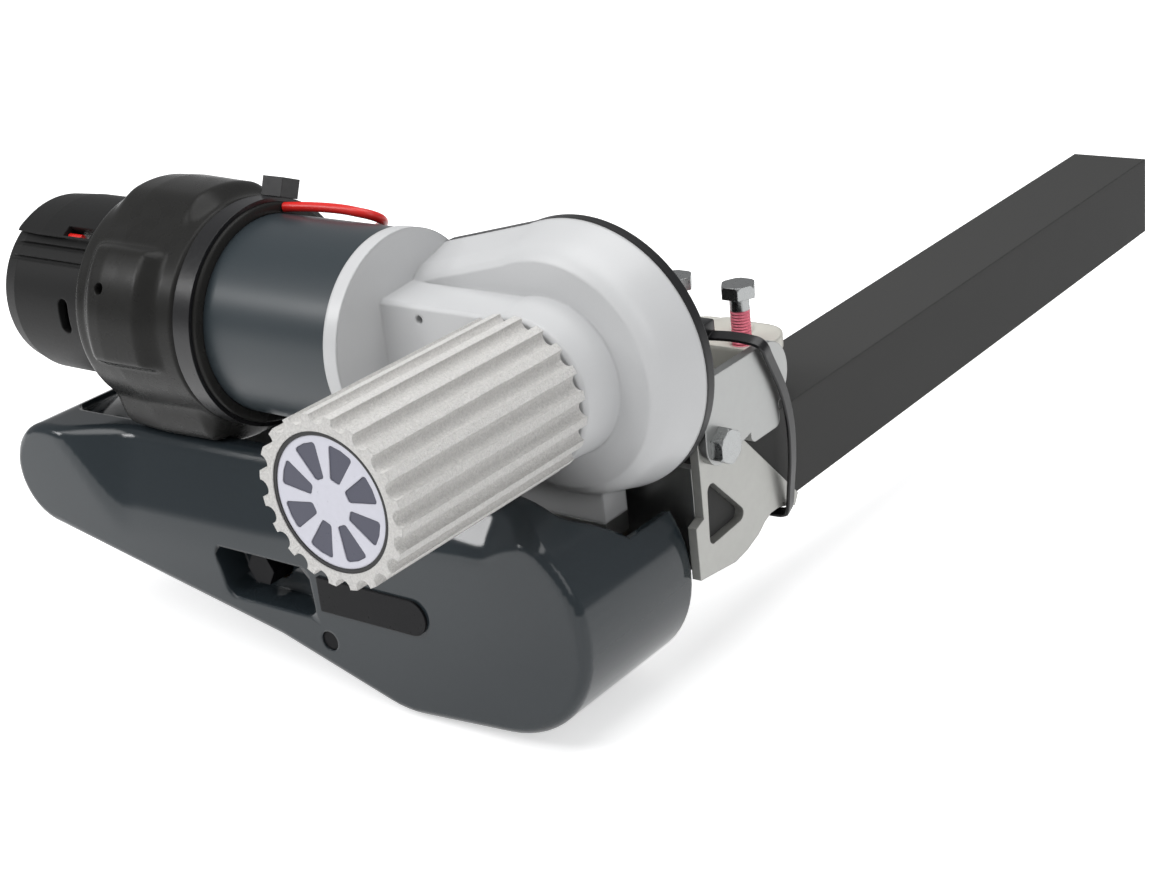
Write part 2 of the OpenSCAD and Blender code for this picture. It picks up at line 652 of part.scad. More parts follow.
// Drive: carrier, gear case and motor
module swing_carrier() color("silver") from_seat() difference() {
    union() {
        rod_y(hub_r, hub_y0, hub_y1, pivot_x, pivot_z);
        translate([foot_x0, foot_y0, foot_z - carrier_pad])
            cube([foot_x1 - foot_x0, foot_y1 - foot_y0, carrier_pad]);
        translate([pivot_x - 12, foot_y0, pivot_z])
            cube([16, foot_y1 - foot_y0, foot_z - carrier_pad - pivot_z + 1]);
        translate([arm_x0, cam_y0, arm_z]) cube([pivot_x - arm_x0, cam_t, arm_h]);
    }
    rod_y(pivot_r + bush_wall, hub_y0 - cut, hub_y1 + cut, pivot_x, pivot_z);
    for (x = carrier_screw_x) translate([x, (foot_y0 + foot_y1) / 2, foot_z]) {
        rod_z(carrier_screw_r + 0.3, -carrier_pad - cut, cut);
        rod_z(carrier_screw_r + 2.8, -carrier_pad - cut, -carrier_pad + 5);
    }
}
module pivot_bushes() color("goldenrod") from_seat() for (y = [hub_y0, hub_y1 - 18])
    ring_y(pivot_r + run_gap, pivot_r + bush_wall, y, y + 18, pivot_x, pivot_z);
module carrier_screws() color("dimgray") from_seat() for (x = carrier_screw_x)
    translate([x, (foot_y0 + foot_y1) / 2, 0]) {
        rod_z(carrier_screw_r, foot_z - carrier_pad + 1, foot_z + 9);
        rod_z(carrier_screw_r + 2.5, foot_z - carrier_pad, foot_z - carrier_pad + 5);
    }

// Gear case: a drafted round end, and a wedge that runs from its sides to the motor flange
lobe_r = 28;
lobe_at = [flange_x - 1, motor_z];
side_turn = acos((case_r - side_sink - lobe_r) / norm(lobe_at));
function side_dir(s) = polar(1, atan2(lobe_at[1], lobe_at[0]) + s * side_turn);
module case_quad(inset) polygon([
    (case_r - side_sink - inset) * side_dir(-1), lobe_at + (lobe_r - inset) * side_dir(-1),
    lobe_at + (lobe_r - inset) * side_dir(1), (case_r - side_sink - inset) * side_dir(1)
]);
module case_slice(y, inset) along_y(y, y + 0.1) intersection() {
    case_quad(inset);
    translate([flange_x - 1, -case_r]) square(2 * case_r);
}
module boss_slice(y, grow) along_y(y, y + 0.1) translate([flange_x - 2, neck_bottom - grow])
    square([2 - flange_x, neck_top - neck_bottom + 2 * grow]);
module turned_y(profile) rotate([-90, 0, 0]) rotate_extrude($fn = 96) polygon(profile);
back_screw_spots = [for (a = [-70, -20, 30, 80]) polar(case_r - 6, a)];
module gear_housing() color("#c3c4c6") from_seat() difference() {
    union() {
        turned_y([[0, case_front], [case_r - case_draft - 2.4, case_front],
            [case_r - case_draft, case_front + 1.8], [case_r - case_draft * 0.62, case_front + 6],
            [case_r, case_back], [0, case_back]]);
        hull() {
            case_slice(case_back - 0.1, 0);
            case_slice(case_front + 6, case_draft * 0.62);
            case_slice(case_front + 1.8, case_draft);
            case_slice(case_front, case_draft + 2.4);
        }
        turned_y([[0, boss_front], [boss_r - 2.5, boss_front], [boss_r - 1, boss_front + 1.5],
            [boss_r + 0.8, case_front + 1], [0, case_front + 1]]);
        hull() {
            boss_slice(boss_front, -2.5);
            boss_slice(boss_front + 1.5, -1);
            boss_slice(case_front + 1, 0.8);
        }
        rod_x(flange_r, can_x1, flange_x, motor_y, motor_z);
        rod_x(can_r - can_wall, can_x1 - spigot, can_x1 + cut, motor_y, motor_z);
        translate([foot_x0, foot_y0, foot_z]) cube([foot_x1 - foot_x0, foot_y1 - foot_y0, 24]);
    }
    rod_y(output_tip + gear_room, chamber_y, case_back + cut);
    rod_y(pinion_tip + gear_room, chamber_y, case_back + cut, idler_x, idler_z);
    rod_y(wheel_tip + gear_room, wheel_y0 - 2, chamber_y + cut, idler_x, idler_z);
    rod_x(worm_bearing_r, flange_x - cut, worm_bearing_x1, motor_y, motor_z);
    rod_x(motor_bearing_r, can_x1 - spigot - cut, flange_x, motor_y, motor_z);
    rod_y(output_bearing_r, seal_y1, front_bearing_y1);
    rod_y(output_shaft_r + 5, boss_front - cut, seal_y1 + cut);
    rod_y(output_shaft_r + 1, front_bearing_y1 - cut, chamber_y + cut);
    rod_y(idler_bush_r, wheel_y0 - 7, wheel_y0 - 1, idler_x, idler_z);
    rod_y(1.6, boss_front - cut, boss_front + 6, flange_x + 19, neck_top - 6.5);
    for (x = carrier_screw_x) rod_z(carrier_screw_r, foot_z - cut, foot_z + 9, x, (foot_y0 + foot_y1) / 2);
    for (p = back_screw_spots) rod_y(2, case_back - 9, case_back + cut, p[0], p[1]);
}
module case_outline(inset) {
    circle(case_r - inset, $fn = 96);
    intersection() {
        case_quad(inset);
        translate([flange_x + loose_gap, -case_r]) square(2 * case_r);
    }
}
module gear_gasket() color("#111111") from_seat() along_y(case_back, cover_y0) difference() {
    case_outline(0);
    case_outline(7);
    for (p = back_screw_spots) translate(p) circle(2.2);
}
module gear_back_cover() color("#202122") from_seat() difference() {
    union() {
        along_y(cover_y0, cover_y1) case_outline(0);
        rod_y(output_bearing_r + 3, rear_boss_y, cover_y0 + cut);
        rod_y(idler_bush_r + 3, rear_boss_y, cover_y0 + cut, idler_x, idler_z);
    }
    rod_y(output_bearing_r, rear_boss_y - cut, rear_bearing_y1);
    rod_y(idler_bush_r, rear_boss_y - cut, rear_bearing_y1, idler_x, idler_z);
    for (p = back_screw_spots) rod_y(2.2, cover_y0 - cut, cover_y1 + cut, p[0], p[1]);
}
module back_cover_screws() color("silver") from_seat() for (p = back_screw_spots) {
    rod_y(2, case_back - 8, cover_y1 + 0.2, p[0], p[1]);
    rod_y(3.6, cover_y1, cover_y1 + 1.6, p[0], p[1]);
}
module motor_can() color("#43484c") from_seat() ring_x(can_r - can_wall, can_r, can_x0, can_x1);
module field_magnets() color("#3a3836") from_seat() difference() {
    ring_x(magnet_in, can_r - can_wall, core_x0 - 4, core_x1 + 4);
    for (s = [-1, 1]) translate([core_x0 - 5, motor_y + s * 30 - 14, motor_z - 50])
        cube([core_x1 - core_x0 + 10, 28, 100]);
}
// End bell: a plastic cap with a raised strip along its top, grooves, a slot and the terminal's window
module bell_turn(a) translate([0, motor_y, motor_z]) rotate([-a, 0, 0]) children();
module end_bell() color("#262728") from_seat() difference() {
    union() {
        turned_x([[0, bell_x0], [bell_r - 6, bell_x0], [bell_r - 2, bell_x0 + 4], [bell_r, bell_x0 + 12],
            [bell_r, can_x0], [can_r - can_wall, can_x0], [can_r - can_wall, can_x0 + 6], [0, can_x0 + 6]]);
        intersection() {
            turned_x([[0, bell_x0 + 1], [bell_r - 2, bell_x0 + 1], [bell_r + 1, bell_x0 + 6],
                [bell_r + 2, bell_x0 + 22], [bell_r + 2, can_x0], [0, can_x0]]);
            translate([bell_x0, motor_y - 34, motor_z + bell_r - 7]) cube([bell_len, 68, 20]);
        }
    }
    turned_x([[0, bell_x0 + 20], [bell_r - 4, bell_x0 + 20], [bell_r - 4, can_x0 + 7], [0, can_x0 + 7]]);
    rod_x(motor_bearing_r, rear_bearing_x0, bell_x0 + 21, motor_y, motor_z);
    for (a = [35, 45]) bell_turn(a)
        translate([bell_x0 - cut, -bell_r - 1, -0.9]) cube([bell_len - 12, 2.6, 1.8]);
    bell_turn(1) for (z = [-4.5, 4.5]) rod_y(3, -bell_r - 1, 5 - bell_r, bell_x0 + 43, z);
    bell_turn(1) translate([bell_x0 + 40, -bell_r - 1, -4.5]) cube([6, 6, 9]);
    bell_turn(terminal_turn) translate([bell_x0 + 36, -bell_r - 3, -2.5]) cube([16, 8, 5]);
}
module brush_holder() color("#4a3a2a") from_seat() difference() {
    ring_x(commutator_r + 2, bell_r - 4, commutator_x0 + 5, commutator_x0 + 8);
    for (s = [-1, 1]) translate([commutator_x0 + 4, motor_y - 4.2, motor_z + s * 20 - 10]) cube([5, 8.4, 20]);
}
module brushes() color("#2a2a2a") from_seat() for (z = [commutator_r + 0.1, -commutator_r - 16.1])
    translate([commutator_x0 + 2, motor_y - 4, motor_z + z]) cube([10, 8, 16]);
module motor_bearings() color("silver") from_seat() {
    ring_x(motor_shaft_r + run_gap, motor_bearing_r, can_x1, flange_x);
    ring_x(motor_shaft_r + run_gap, motor_bearing_r, rear_bearing_x0, rear_bearing_x0 + bearing_t);
}
module worm_bearing() color("silver") from_seat()
    ring_x(motor_shaft_r + run_gap, worm_bearing_r, worm_bearing_x1 - bearing_t, worm_bearing_x1);
module output_bearings() color("silver") from_seat() {
    ring_y(output_shaft_r + run_gap, output_bearing_r, seal_y1, front_bearing_y1);
    ring_y(output_shaft_r + run_gap, output_bearing_r, rear_boss_y, rear_bearing_y1);
}
module shaft_seal() color("#1a1a1a") from_seat()
    ring_y(output_shaft_r + run_gap, output_shaft_r + 5, boss_front, seal_y1);
module idler_bushes() color("goldenrod") from_seat() {
    ring_y(idler_r + run_gap, idler_bush_r, wheel_y0 - 7, wheel_y0 - 1, idler_x, idler_z);
    ring_y(idler_r + run_gap, idler_bush_r, rear_boss_y, rear_bearing_y1, idler_x, idler_z);
}
// Boot: a soft sleeve with a lip, swollen pads in front, on top and behind, and a step for its tie
boot_sides = 60;
boot_stations = [0, 1.5, 4, 7, 10, 13, 16, 20, 25, 30, 35, 39, 42, 45, 48, 51, 54, 57];
function ease(t) = let (u = max(0, min(1, t))) u * u * (3 - 2 * u);
function swell(v, low, high, soft) = ease((v - low) / soft) * ease((high - v) / soft);
function turn_from(a, b) = abs((a - b + 540) % 360 - 180);
function pad(x, a, at, half, soft, low, high) = swell(x, low, high, 9)
    * ease((half - turn_from(a, at)) / soft);
function boot_r(x, a) = lookup(x, [[0, boot_out - 1.8], [2.5, boot_out], [22, boot_out + 1], [57, boot_out]])
    + pad_rise * (pad(x, a, pad_at, 33, 8, 7, 50) + pad(x, a, pad_at + 180, 33, 8, 7, 50))
    + pad_rise * pad(x, a, 84, 40, 24, 2, 56);
module rubber_boot() color("#23211f") from_seat() difference() {
    union() {
        skin([for (x = boot_stations) [for (j = [0 : boot_sides - 1])
            let (a = 360 * j / boot_sides, r = boot_r(x, a))
            [boot_x0 + x, motor_y + r * cos(a), motor_z + r * sin(a)]]]);
        rod_x(boot_out - tie_t, boot_x0 + 50, boot_x1, motor_y, motor_z);
    }
    rod_x(boot_in, boot_x0 - cut, boot_x1 + cut, motor_y, motor_z);
    bell_turn(23.5) rod_y(1.8, -boot_out - pad_rise - 3, -boot_in - 1, boot_x0 + 21.8, 0);
}
module boot_tie() color("#131314") from_seat() {
    ring_x(boot_out - tie_t, boot_out + 0.3, tie_x1 - tie_w, tie_x1);
    bell_turn(-68) translate([tie_x1 - tie_w - 1, boot_out + 0.2, -5]) cube([11, 8, 10]);
}
module motor_lead() color("#d0201c") from_seat()
    skin(tube_rings(lead_route, lead_r, lead_sides, [0.2, 0.3, 1]));
module motor_terminal() color("silver") from_seat()
    bell_turn(terminal_turn) translate([bell_x0 + 42, 2 - bell_r, -2.5]) cube([10, 1, 5]);

// Armature with the worm on its shaft
module armature_shaft() color("silver") from_seat()
    rod_x(motor_shaft_r, rear_bearing_x0 + 1, worm_bearing_x1 - 0.5, motor_y, motor_z);
module armature_core() color("#6d6d70") from_seat() difference() {
    ring_x(motor_shaft_r, armature_r, core_x0, core_x1);
    for (i = [0 : 11]) translate([0, motor_y, motor_z]) rotate([30 * i, 0, 0])
        translate([core_x0 - cut, armature_r - 7, -1.6]) cube([core_x1 - core_x0 + 2 * cut, 8, 3.2]);
}
module armature_windings() color("#b06a35") from_seat() for (x = [core_x0 - winding_len, core_x1])
    ring_x(motor_shaft_r, armature_r - 5, x, x + winding_len);
module commutator() color("#b87845") from_seat()
    ring_x(motor_shaft_r, commutator_r, commutator_x0, commutator_x1);
module worm() color("#8f8f92") from_seat() {
    pitch_half = worm_lead / 4 - backlash;
    root_r = worm_pitch_r - tooth_ded * worm_module;
    tip_r = worm_pitch_r + tooth_add * worm_module;
    low_r = root_r - 0.4;
    tip_half = pitch_half - (tip_r - worm_pitch_r) * tan(flank);
    low_half = pitch_half + (worm_pitch_r - low_r) * tan(flank);
    steps = 18 * (worm_turns - 1);
    rings = [for (i = [0 : steps]) let (turn = i / 18 - (worm_turns - 1) / 2, a = 360 * turn - 90,
        x = idler_x + turn * worm_lead)
        [for (q = [[low_half, low_r], [tip_half, tip_r], [-tip_half, tip_r], [-low_half, low_r]])
            [x + q[0], motor_y + q[1] * cos(a), motor_z + q[1] * sin(a)]]];
    difference() {
        union() {
            rod_x(root_r, idler_x - worm_half, idler_x + worm_half, motor_y, motor_z);
            skin(rings);
        }
        rod_x(motor_shaft_r, idler_x - worm_half - cut, idler_x + worm_half + cut, motor_y, motor_z);
    }
}

// Worm wheel and pinion on the idler shaft
wheel_twist = wheel_w * worm_module / (2 * worm_pitch_r) / (worm_module * wheel_teeth / 2) * 180 / PI;
module worm_wheel() color("#c8a15a") from_seat() translate([idler_x, 0, idler_z]) difference() {
    translate([0, wheel_y0 + wheel_w, 0]) rotate([90, 0, 0])
        linear_extrude(wheel_w, twist = -wheel_twist, slices = 4)
            polygon(gear_outline(wheel_teeth, worm_module, 90 + 180 / wheel_teeth - wheel_twist / 2));
    rod_y(idler_r, wheel_y0 - cut, wheel_y0 + wheel_w + cut);
}
module pinion() color("#9a9a9d") from_seat() translate([idler_x, 0, idler_z]) difference() {
    union() {
        along_y(gear_y0 - 0.5, gear_y1 + 0.5) polygon(gear_outline(pinion_teeth, spur_module, mesh_angle));
        rod_y(idler_r + 2.5, wheel_y0 + wheel_w, gear_y0);
    }
    rod_y(idler_r, wheel_y0, gear_y1 + 2);
}
module idler_shaft() color("silver") from_seat()
    rod_y(idler_r, wheel_y0 - 6.5, rear_bearing_y1 - 0.5, idler_x, idler_z);

// Output: gear, shaft, roller and its end cap
module output_gear() color("#9a9a9d") from_seat() difference() {
    along_y(gear_y0, gear_y1)
        polygon(gear_outline(output_teeth, spur_module, mesh_angle + 180 + 180 / output_teeth));
    rod_y(output_shaft_r, gear_y0 - cut, gear_y1 + cut);
    for (a = [0 : 60 : 300]) rod_y(5, gear_y0 - cut, gear_y1 + cut, 21 * cos(a), 21 * sin(a));
}
cap_y0 = roller_out + 0.6;
hub_face = cap_y0 + cap_t + 6;
module output_shaft() color("silver") from_seat() difference() {
    rod_y(output_shaft_r, hub_face, rear_bearing_y1 - 0.5);
    rod_y(bolt_r, hub_face - cut, hub_face + 20);
}
module roller() color("#c9c5bd") from_seat() difference() {
    rod_y(roller_r, roller_out, roller_in);
    for (i = [0 : roller_teeth - 1]) rotate([0, 360 * i / roller_teeth, 0])
        rod_y(groove_r, roller_out - cut, roller_in + cut, roller_r + groove_r - groove_depth, 0);
    rod_y(cap_r + rim_w, roller_out - cut, cap_y0 + cap_t);
    rod_y(cap_r - 4, cap_y0 + cap_t - cut, hub_face);
    rod_y(output_shaft_r, hub_face - cut, roller_in + cut);
}
// Wedge window of the cap, pointing along +X
module cap_wedge() {
    half = 360 / cap_windows / 2 - 8.5;
    offset(r = 1.2, $fn = 16) offset(delta = -1.2) polygon(concat(
        [for (a = [-half : half : half]) polar(cap_r - 2.4, a)],
        [polar(cap_r * 0.36, half * 0.95), polar(cap_r * 0.36, -half * 0.95)]));
}
inlay_t = 0.8;
module cap_wedges(y0, y1) for (i = [0 : cap_windows - 1])
    rotate([0, 360 * (i + 0.5) / cap_windows, 0]) along_y(y0, y1) cap_wedge();
module roller_cap() color("#dcdbe4") from_seat() difference() {
    rod_y(cap_r, cap_y0, cap_y0 + cap_t);
    cap_wedges(cap_y0 - cut, cap_y0 + inlay_t);
}
module cap_inlays() color("#55556a") from_seat() cap_wedges(cap_y0 + 0.3, cap_y0 + inlay_t);
module cap_rim() color("#1b1b1e") from_seat() ring_y(cap_r, cap_r + rim_w, roller_out + 0.3, cap_y0 + cap_t);
module roller_screw() color("dimgray") from_seat() {
    rod_y(bolt_r, hub_face - 0.5, hub_face + 18);
    translate([0, cap_y0 + cap_t + 0.6, 0]) rotate([-90, 0, 0]) hex_z(bolt_af, head_t + 0.1);
    rod_y(output_shaft_r + 3, hub_face - 0.9, hub_face);
}

// Hand spindle with its hexagon in the cover's recess, and the cam
module engage_spindle() color("#2a2a2b") from_seat() {
    rod_y(spindle_r, cheek_y - 1, back_y + plate_t + 2, spindle_x, spindle_z);
    translate([spindle_x, cover_y + 5, spindle_z]) rotate([-90, 0, 0])
        hex_z(spindle_af, cheek_y - cover_y - 5.5);
}
// Cam whose height over its axis grows in step with its turn
module cam_outline() hull() {
    circle(cam_low_r);
    polygon([for (t = [0 : cam_span / 20 : cam_span])
        let (h = cam_low_r + cam_rate * t * PI / 180, a = 90 - t)
        polar(h, a) - cam_rate * polar(1, a + 90)]);
}
module engage_cam() color("silver") from_seat() translate([spindle_x, 0, spindle_z]) difference() {
    along_y(cam_y0, cam_y0 + cam_t) cam_outline();
    rod_y(spindle_r, cam_y0 - cut, cam_y0 + cam_t + cut);
}

base_frame();
gusset_plate();
far_gusset();
clamp_arms();
seat_plate();
crossbar();
clamp_jaw();
clamp_bolts();
clamp_nuts();
cross_bolt();
cross_nut();
lower_cover();
badge_plate();
cover_screws();
tie_rod();
pivot_shaft();
shaft_clip();
spindle_bushes();
arm_tie();
swing_carrier();
pivot_bushes();
carrier_screws();
gear_housing();
gear_gasket();
gear_back_cover();
back_cover_screws();
motor_can();
field_magnets();
end_bell();
brush_holder();
brushes();
motor_bearings();
worm_bearing();
output_bearings();
shaft_seal();
idler_bushes();
rubber_boot();
boot_tie();
motor_lead();
motor_terminal();
armature_shaft();
armature_core();
armature_windings();
commutator();
worm();
worm_wheel();
pinion();
idler_shaft();
output_gear();
output_shaft();
roller();
roller_cap();
cap_inlays();
cap_rim();
roller_screw();
engage_spindle();
engage_cam();
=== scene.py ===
import json
import math

import bmesh
import bpy
from mathutils import Matrix, Vector


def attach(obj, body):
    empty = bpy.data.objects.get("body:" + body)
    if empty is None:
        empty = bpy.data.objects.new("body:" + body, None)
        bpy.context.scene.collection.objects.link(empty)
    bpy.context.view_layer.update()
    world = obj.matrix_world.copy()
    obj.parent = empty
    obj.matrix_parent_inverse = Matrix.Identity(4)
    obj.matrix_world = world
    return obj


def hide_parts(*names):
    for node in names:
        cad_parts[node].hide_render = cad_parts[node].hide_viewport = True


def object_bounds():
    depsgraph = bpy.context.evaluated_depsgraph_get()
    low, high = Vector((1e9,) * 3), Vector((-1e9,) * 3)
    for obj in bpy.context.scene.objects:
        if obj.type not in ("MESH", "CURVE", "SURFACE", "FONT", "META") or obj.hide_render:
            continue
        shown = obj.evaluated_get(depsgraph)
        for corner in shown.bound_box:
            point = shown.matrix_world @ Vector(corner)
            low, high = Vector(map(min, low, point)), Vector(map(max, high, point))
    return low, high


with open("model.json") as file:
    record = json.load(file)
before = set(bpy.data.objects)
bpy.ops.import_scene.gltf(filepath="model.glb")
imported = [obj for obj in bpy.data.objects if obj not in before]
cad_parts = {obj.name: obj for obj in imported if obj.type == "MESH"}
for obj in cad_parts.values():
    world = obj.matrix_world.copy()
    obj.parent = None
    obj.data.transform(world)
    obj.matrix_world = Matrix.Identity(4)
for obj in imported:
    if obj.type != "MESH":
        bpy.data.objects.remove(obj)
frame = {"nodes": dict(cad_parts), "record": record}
cad_low, cad_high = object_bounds()
nodes = frame["nodes"]

# Sizes in millimetres in the drive frame: origin at the centre of the roller's outer face
MM = 0.001
SEAT = Vector((10, 225, -27))


def place(x, y, z):
    """A point of the drive frame in the part's frame, in metres."""
    return (Vector((x, y, z)) - SEAT) * MM


# Camera

camera = bpy.data.objects.new("camera", bpy.data.cameras.new("camera"))
bpy.context.scene.collection.objects.link(camera)
right = Vector((0.80252215, 0.58771464, -0.10271173))
up = Vector((-0.14820172, 0.36313073, 0.91987625))
back = Vector((0.57792252, -0.72299902, 0.37852077))
eye = place(458.4, -438.1, 271.3)
camera.matrix_world = Matrix((
    (right.x, up.x, back.x, eye.x),
    (right.y, up.y, back.y, eye.y),
    (right.z, up.z, back.z, eye.z),
    (0, 0, 0, 1),
))
camera.data.sensor_width = 36
camera.data.lens = 64.47
camera.data.clip_start = 0.02
camera.data.clip_end = 50
bpy.context.scene.camera = camera
bpy.context.scene.view_settings.view_transform = "Standard"


# Shader groups

def new_group(name, inputs, outputs):
    """An empty shader group with these sockets, and its two end nodes."""
    tree = bpy.data.node_groups.new(name, "ShaderNodeTree")
    for label, kind in inputs:
        tree.interface.new_socket(label, in_out="INPUT", socket_type=kind)
    for label, kind in outputs:
        tree.interface.new_socket(label, in_out="OUTPUT", socket_type=kind)
    return tree, tree.nodes.new("NodeGroupInput"), tree.nodes.new("NodeGroupOutput")


def add(tree, kind, **settings):
    """A new node with these settings."""
    node = tree.nodes.new(kind)
    for key, value in settings.items():
        setattr(node, key, value)
    return node


def maths(tree, operation, a, b):
    """The result of a sum on two numbers or sockets."""
    node = add(tree, "ShaderNodeMath", operation=operation)
    for socket, value in zip(node.inputs, (a, b)):
        if isinstance(value, (int, float)):
            socket.default_value = value
        else:
            tree.links.new(value, socket)
    return node.outputs[0]


FINE_DETAIL, BROAD_DETAIL, EDGE_SAMPLES, ROUGH_SPREAD = 4, 3, 4, 4


def make_grain():
    """Colour, roughness and bump that vary in fine and broad patches, with softened edges."""
    tree, start, end = new_group("grain", [
        ("Colour", "NodeSocketColor"),
        ("Dark", "NodeSocketColor"),
        ("Scale", "NodeSocketFloat"),
        ("Broad", "NodeSocketFloat"),
        ("Roughness", "NodeSocketFloat"),
        ("Uneven", "NodeSocketFloat"),
        ("Bump", "NodeSocketFloat"),
        ("Height", "NodeSocketFloat"),
        ("Edge", "NodeSocketFloat"),
    ], [("Colour", "NodeSocketColor"), ("Roughness", "NodeSocketFloat"), ("Normal", "NodeSocketVector")])
    link = tree.links.new
    where = add(tree, "ShaderNodeTexCoord")
    fine = add(tree, "ShaderNodeTexNoise")
    fine.inputs["Detail"].default_value = FINE_DETAIL
    broad = add(tree, "ShaderNodeTexNoise")
    broad.inputs["Detail"].default_value = BROAD_DETAIL
    link(where.outputs["Object"], fine.inputs["Vector"])
    link(where.outputs["Object"], broad.inputs["Vector"])
    link(start.outputs["Scale"], fine.inputs["Scale"])
    link(start.outputs["Broad"], broad.inputs["Scale"])
    both = maths(tree, "ADD", fine.outputs["Fac"], broad.outputs["Fac"])
    half = maths(tree, "MULTIPLY", both, 0.5)
    mix = add(tree, "ShaderNodeMix", data_type="RGBA")
    link(half, mix.inputs["Factor"])
    link(start.outputs["Dark"], mix.inputs["A"])
    link(start.outputs["Colour"], mix.inputs["B"])
    link(mix.outputs["Result"], end.inputs["Colour"])
    offset = maths(tree, "MULTIPLY", maths(tree, "SUBTRACT", half, 0.5), start.outputs["Uneven"])
    spread = maths(tree, "MULTIPLY", offset, ROUGH_SPREAD)
    link(maths(tree, "ADD", start.outputs["Roughness"], spread), end.inputs["Roughness"])
    edge = add(tree, "ShaderNodeBevel", samples=EDGE_SAMPLES)
    link(start.outputs["Edge"], edge.inputs["Radius"])
    bump = add(tree, "ShaderNodeBump")
    link(start.outputs["Bump"], bump.inputs["Strength"])
    link(start.outputs["Height"], bump.inputs["Distance"])
    link(fine.outputs["Fac"], bump.inputs["Height"])
    link(edge.outputs["Normal"], bump.inputs["Normal"])
    link(bump.outputs["Normal"], end.inputs["Normal"])
    return tree


GRAIN = make_grain()


def finish(name, colour, dark=0.85, rough=0.4, metal=0.0, scale=400, broad=12, uneven=0.06,
           bump=0.1, height=0.0002, edge=0.0006, gleam=0.5):
    """A material for one record slot, from the shared grain group."""
    material = bpy.data.materials.new(name)
    material.use_nodes = True
    tree = material.node_tree
    shader = tree.nodes["Principled BSDF"]
    grain = add(tree, "ShaderNodeGroup", node_tree=GRAIN)
    grain.name = "grain"
    values = {
        "Colour": (*colour, 1), "Dark": (*(c * dark for c in colour), 1), "Scale": scale, "Broad": broad,
        "Roughness": rough, "Uneven": uneven, "Bump": bump, "Height": height, "Edge": edge,
    }
    for key, value in values.items():
        grain.inputs[key].default_value = value
    tree.links.new(grain.outputs["Colour"], shader.inputs["Base Color"])
    tree.links.new(grain.outputs["Roughness"], shader.inputs["Roughness"])
    tree.links.new(grain.outputs["Normal"], shader.inputs["Normal"])
    shader.inputs["Metallic"].default_value = metal
    shader.inputs["Specular IOR Level"].default_value = gleam
    return material


FINISHES = {
    "zinc_plate": dict(
        colour=(0.36, 0.365, 0.36), dark=0.75, rough=0.36, metal=1.0, scale=260, broad=40),
    "grey_steel": dict(
        colour=(0.40, 0.40, 0.38), dark=0.75, rough=0.34, metal=0.6, scale=260, broad=30),
    "zinc_bolts": dict(
        colour=(0.38, 0.39, 0.39), dark=0.65, rough=0.28, metal=1.0, scale=500, broad=60),
    "charcoal_tube": dict(
        colour=(0.056, 0.056, 0.055), rough=0.6, scale=900, bump=0.1, edge=0.0012, gleam=0.05),
    "jaw_casting": dict(colour=(0.62, 0.61, 0.55), rough=0.35, scale=300, edge=0.0025),
    "slate_cover": dict(
        colour=(0.022, 0.029, 0.034), rough=0.1, scale=700, uneven=0.02,
        bump=0.008, edge=0.0015, gleam=0.35),
    "badge": dict(colour=(0.008, 0.008, 0.009), rough=0.3, scale=700, bump=0.02, gleam=0.1),
    "black_nylon": dict(colour=(0.007, 0.007, 0.008), rough=0.3, scale=500, edge=0.0004, gleam=0.4),
    "machined_steel": dict(colour=(0.45, 0.46, 0.47), rough=0.28, metal=1.0, scale=600),
    "black_spindle": dict(colour=(0.005, 0.005, 0.006), rough=0.4, scale=500, gleam=0.08),
    "bronze": dict(colour=(0.55, 0.38, 0.16), rough=0.35, metal=1.0, scale=500),
    "gear_casting": dict(
        colour=(0.53, 0.535, 0.54), dark=0.94, rough=0.34, scale=900, bump=0.06, edge=0.0018),
    "gasket_rubber": dict(colour=(0.008, 0.008, 0.008), rough=0.6, gleam=0.3),
    "black_cover": dict(colour=(0.009, 0.009, 0.010), rough=0.4, scale=700, edge=0.001, gleam=0.3),
    "can_paint": dict(
        colour=(0.027, 0.036, 0.042), rough=0.34, scale=700, uneven=0.03,
        bump=0.01, edge=0.001, gleam=0.4),
    "magnet": dict(colour=(0.05, 0.047, 0.045), rough=0.6),
    "bell_plastic": dict(
        colour=(0.012, 0.012, 0.012), rough=0.5, scale=900, bump=0.12, edge=0.0012, gleam=0.15),
    "carbon": dict(colour=(0.015, 0.015, 0.015), rough=0.5),
    "boot_rubber": dict(
        colour=(0.018, 0.0178, 0.017), rough=0.28, scale=160, broad=30,
        uneven=0.1, bump=0.12, edge=0.001, gleam=0.12),
    "red_lead": dict(colour=(0.66, 0.014, 0.010), rough=0.3, scale=500, bump=0.05),
    "terminal_tin": dict(colour=(0.55, 0.55, 0.54), rough=0.3, metal=1.0),
    "laminations": dict(colour=(0.18, 0.18, 0.19), rough=0.5, metal=1.0),
    "copper": dict(colour=(0.6, 0.27, 0.13), rough=0.35, metal=1.0),
    "roller_alloy": dict(
        colour=(0.88, 0.865, 0.84), dark=0.38, rough=0.62, scale=1700,
        broad=1000, bump=0.9, height=0.0008, edge=0.0006),
    "cap_plastic": dict(colour=(0.60, 0.60, 0.67), rough=0.3, scale=500, bump=0.04),
    "inlay_plastic": dict(colour=(0.066, 0.068, 0.100), rough=0.3, scale=500, bump=0.04, gleam=0.3),
    "rim_plastic": dict(colour=(0.007, 0.007, 0.008), rough=0.3, gleam=0.3),
}
LOOKS = {name: finish(name, **look) for name, look in FINISHES.items()}


THREAD_PAINT, PAINT_LOW, PAINT_TOP = (1.0, 0.20, 0.29), 0.008, 0.0255
PAINT_COVER, RIDGE_SCALE, RIDGE_DEPTH, RIDGE_STRENGTH = 0.9, 251, 0.0005, 0.9


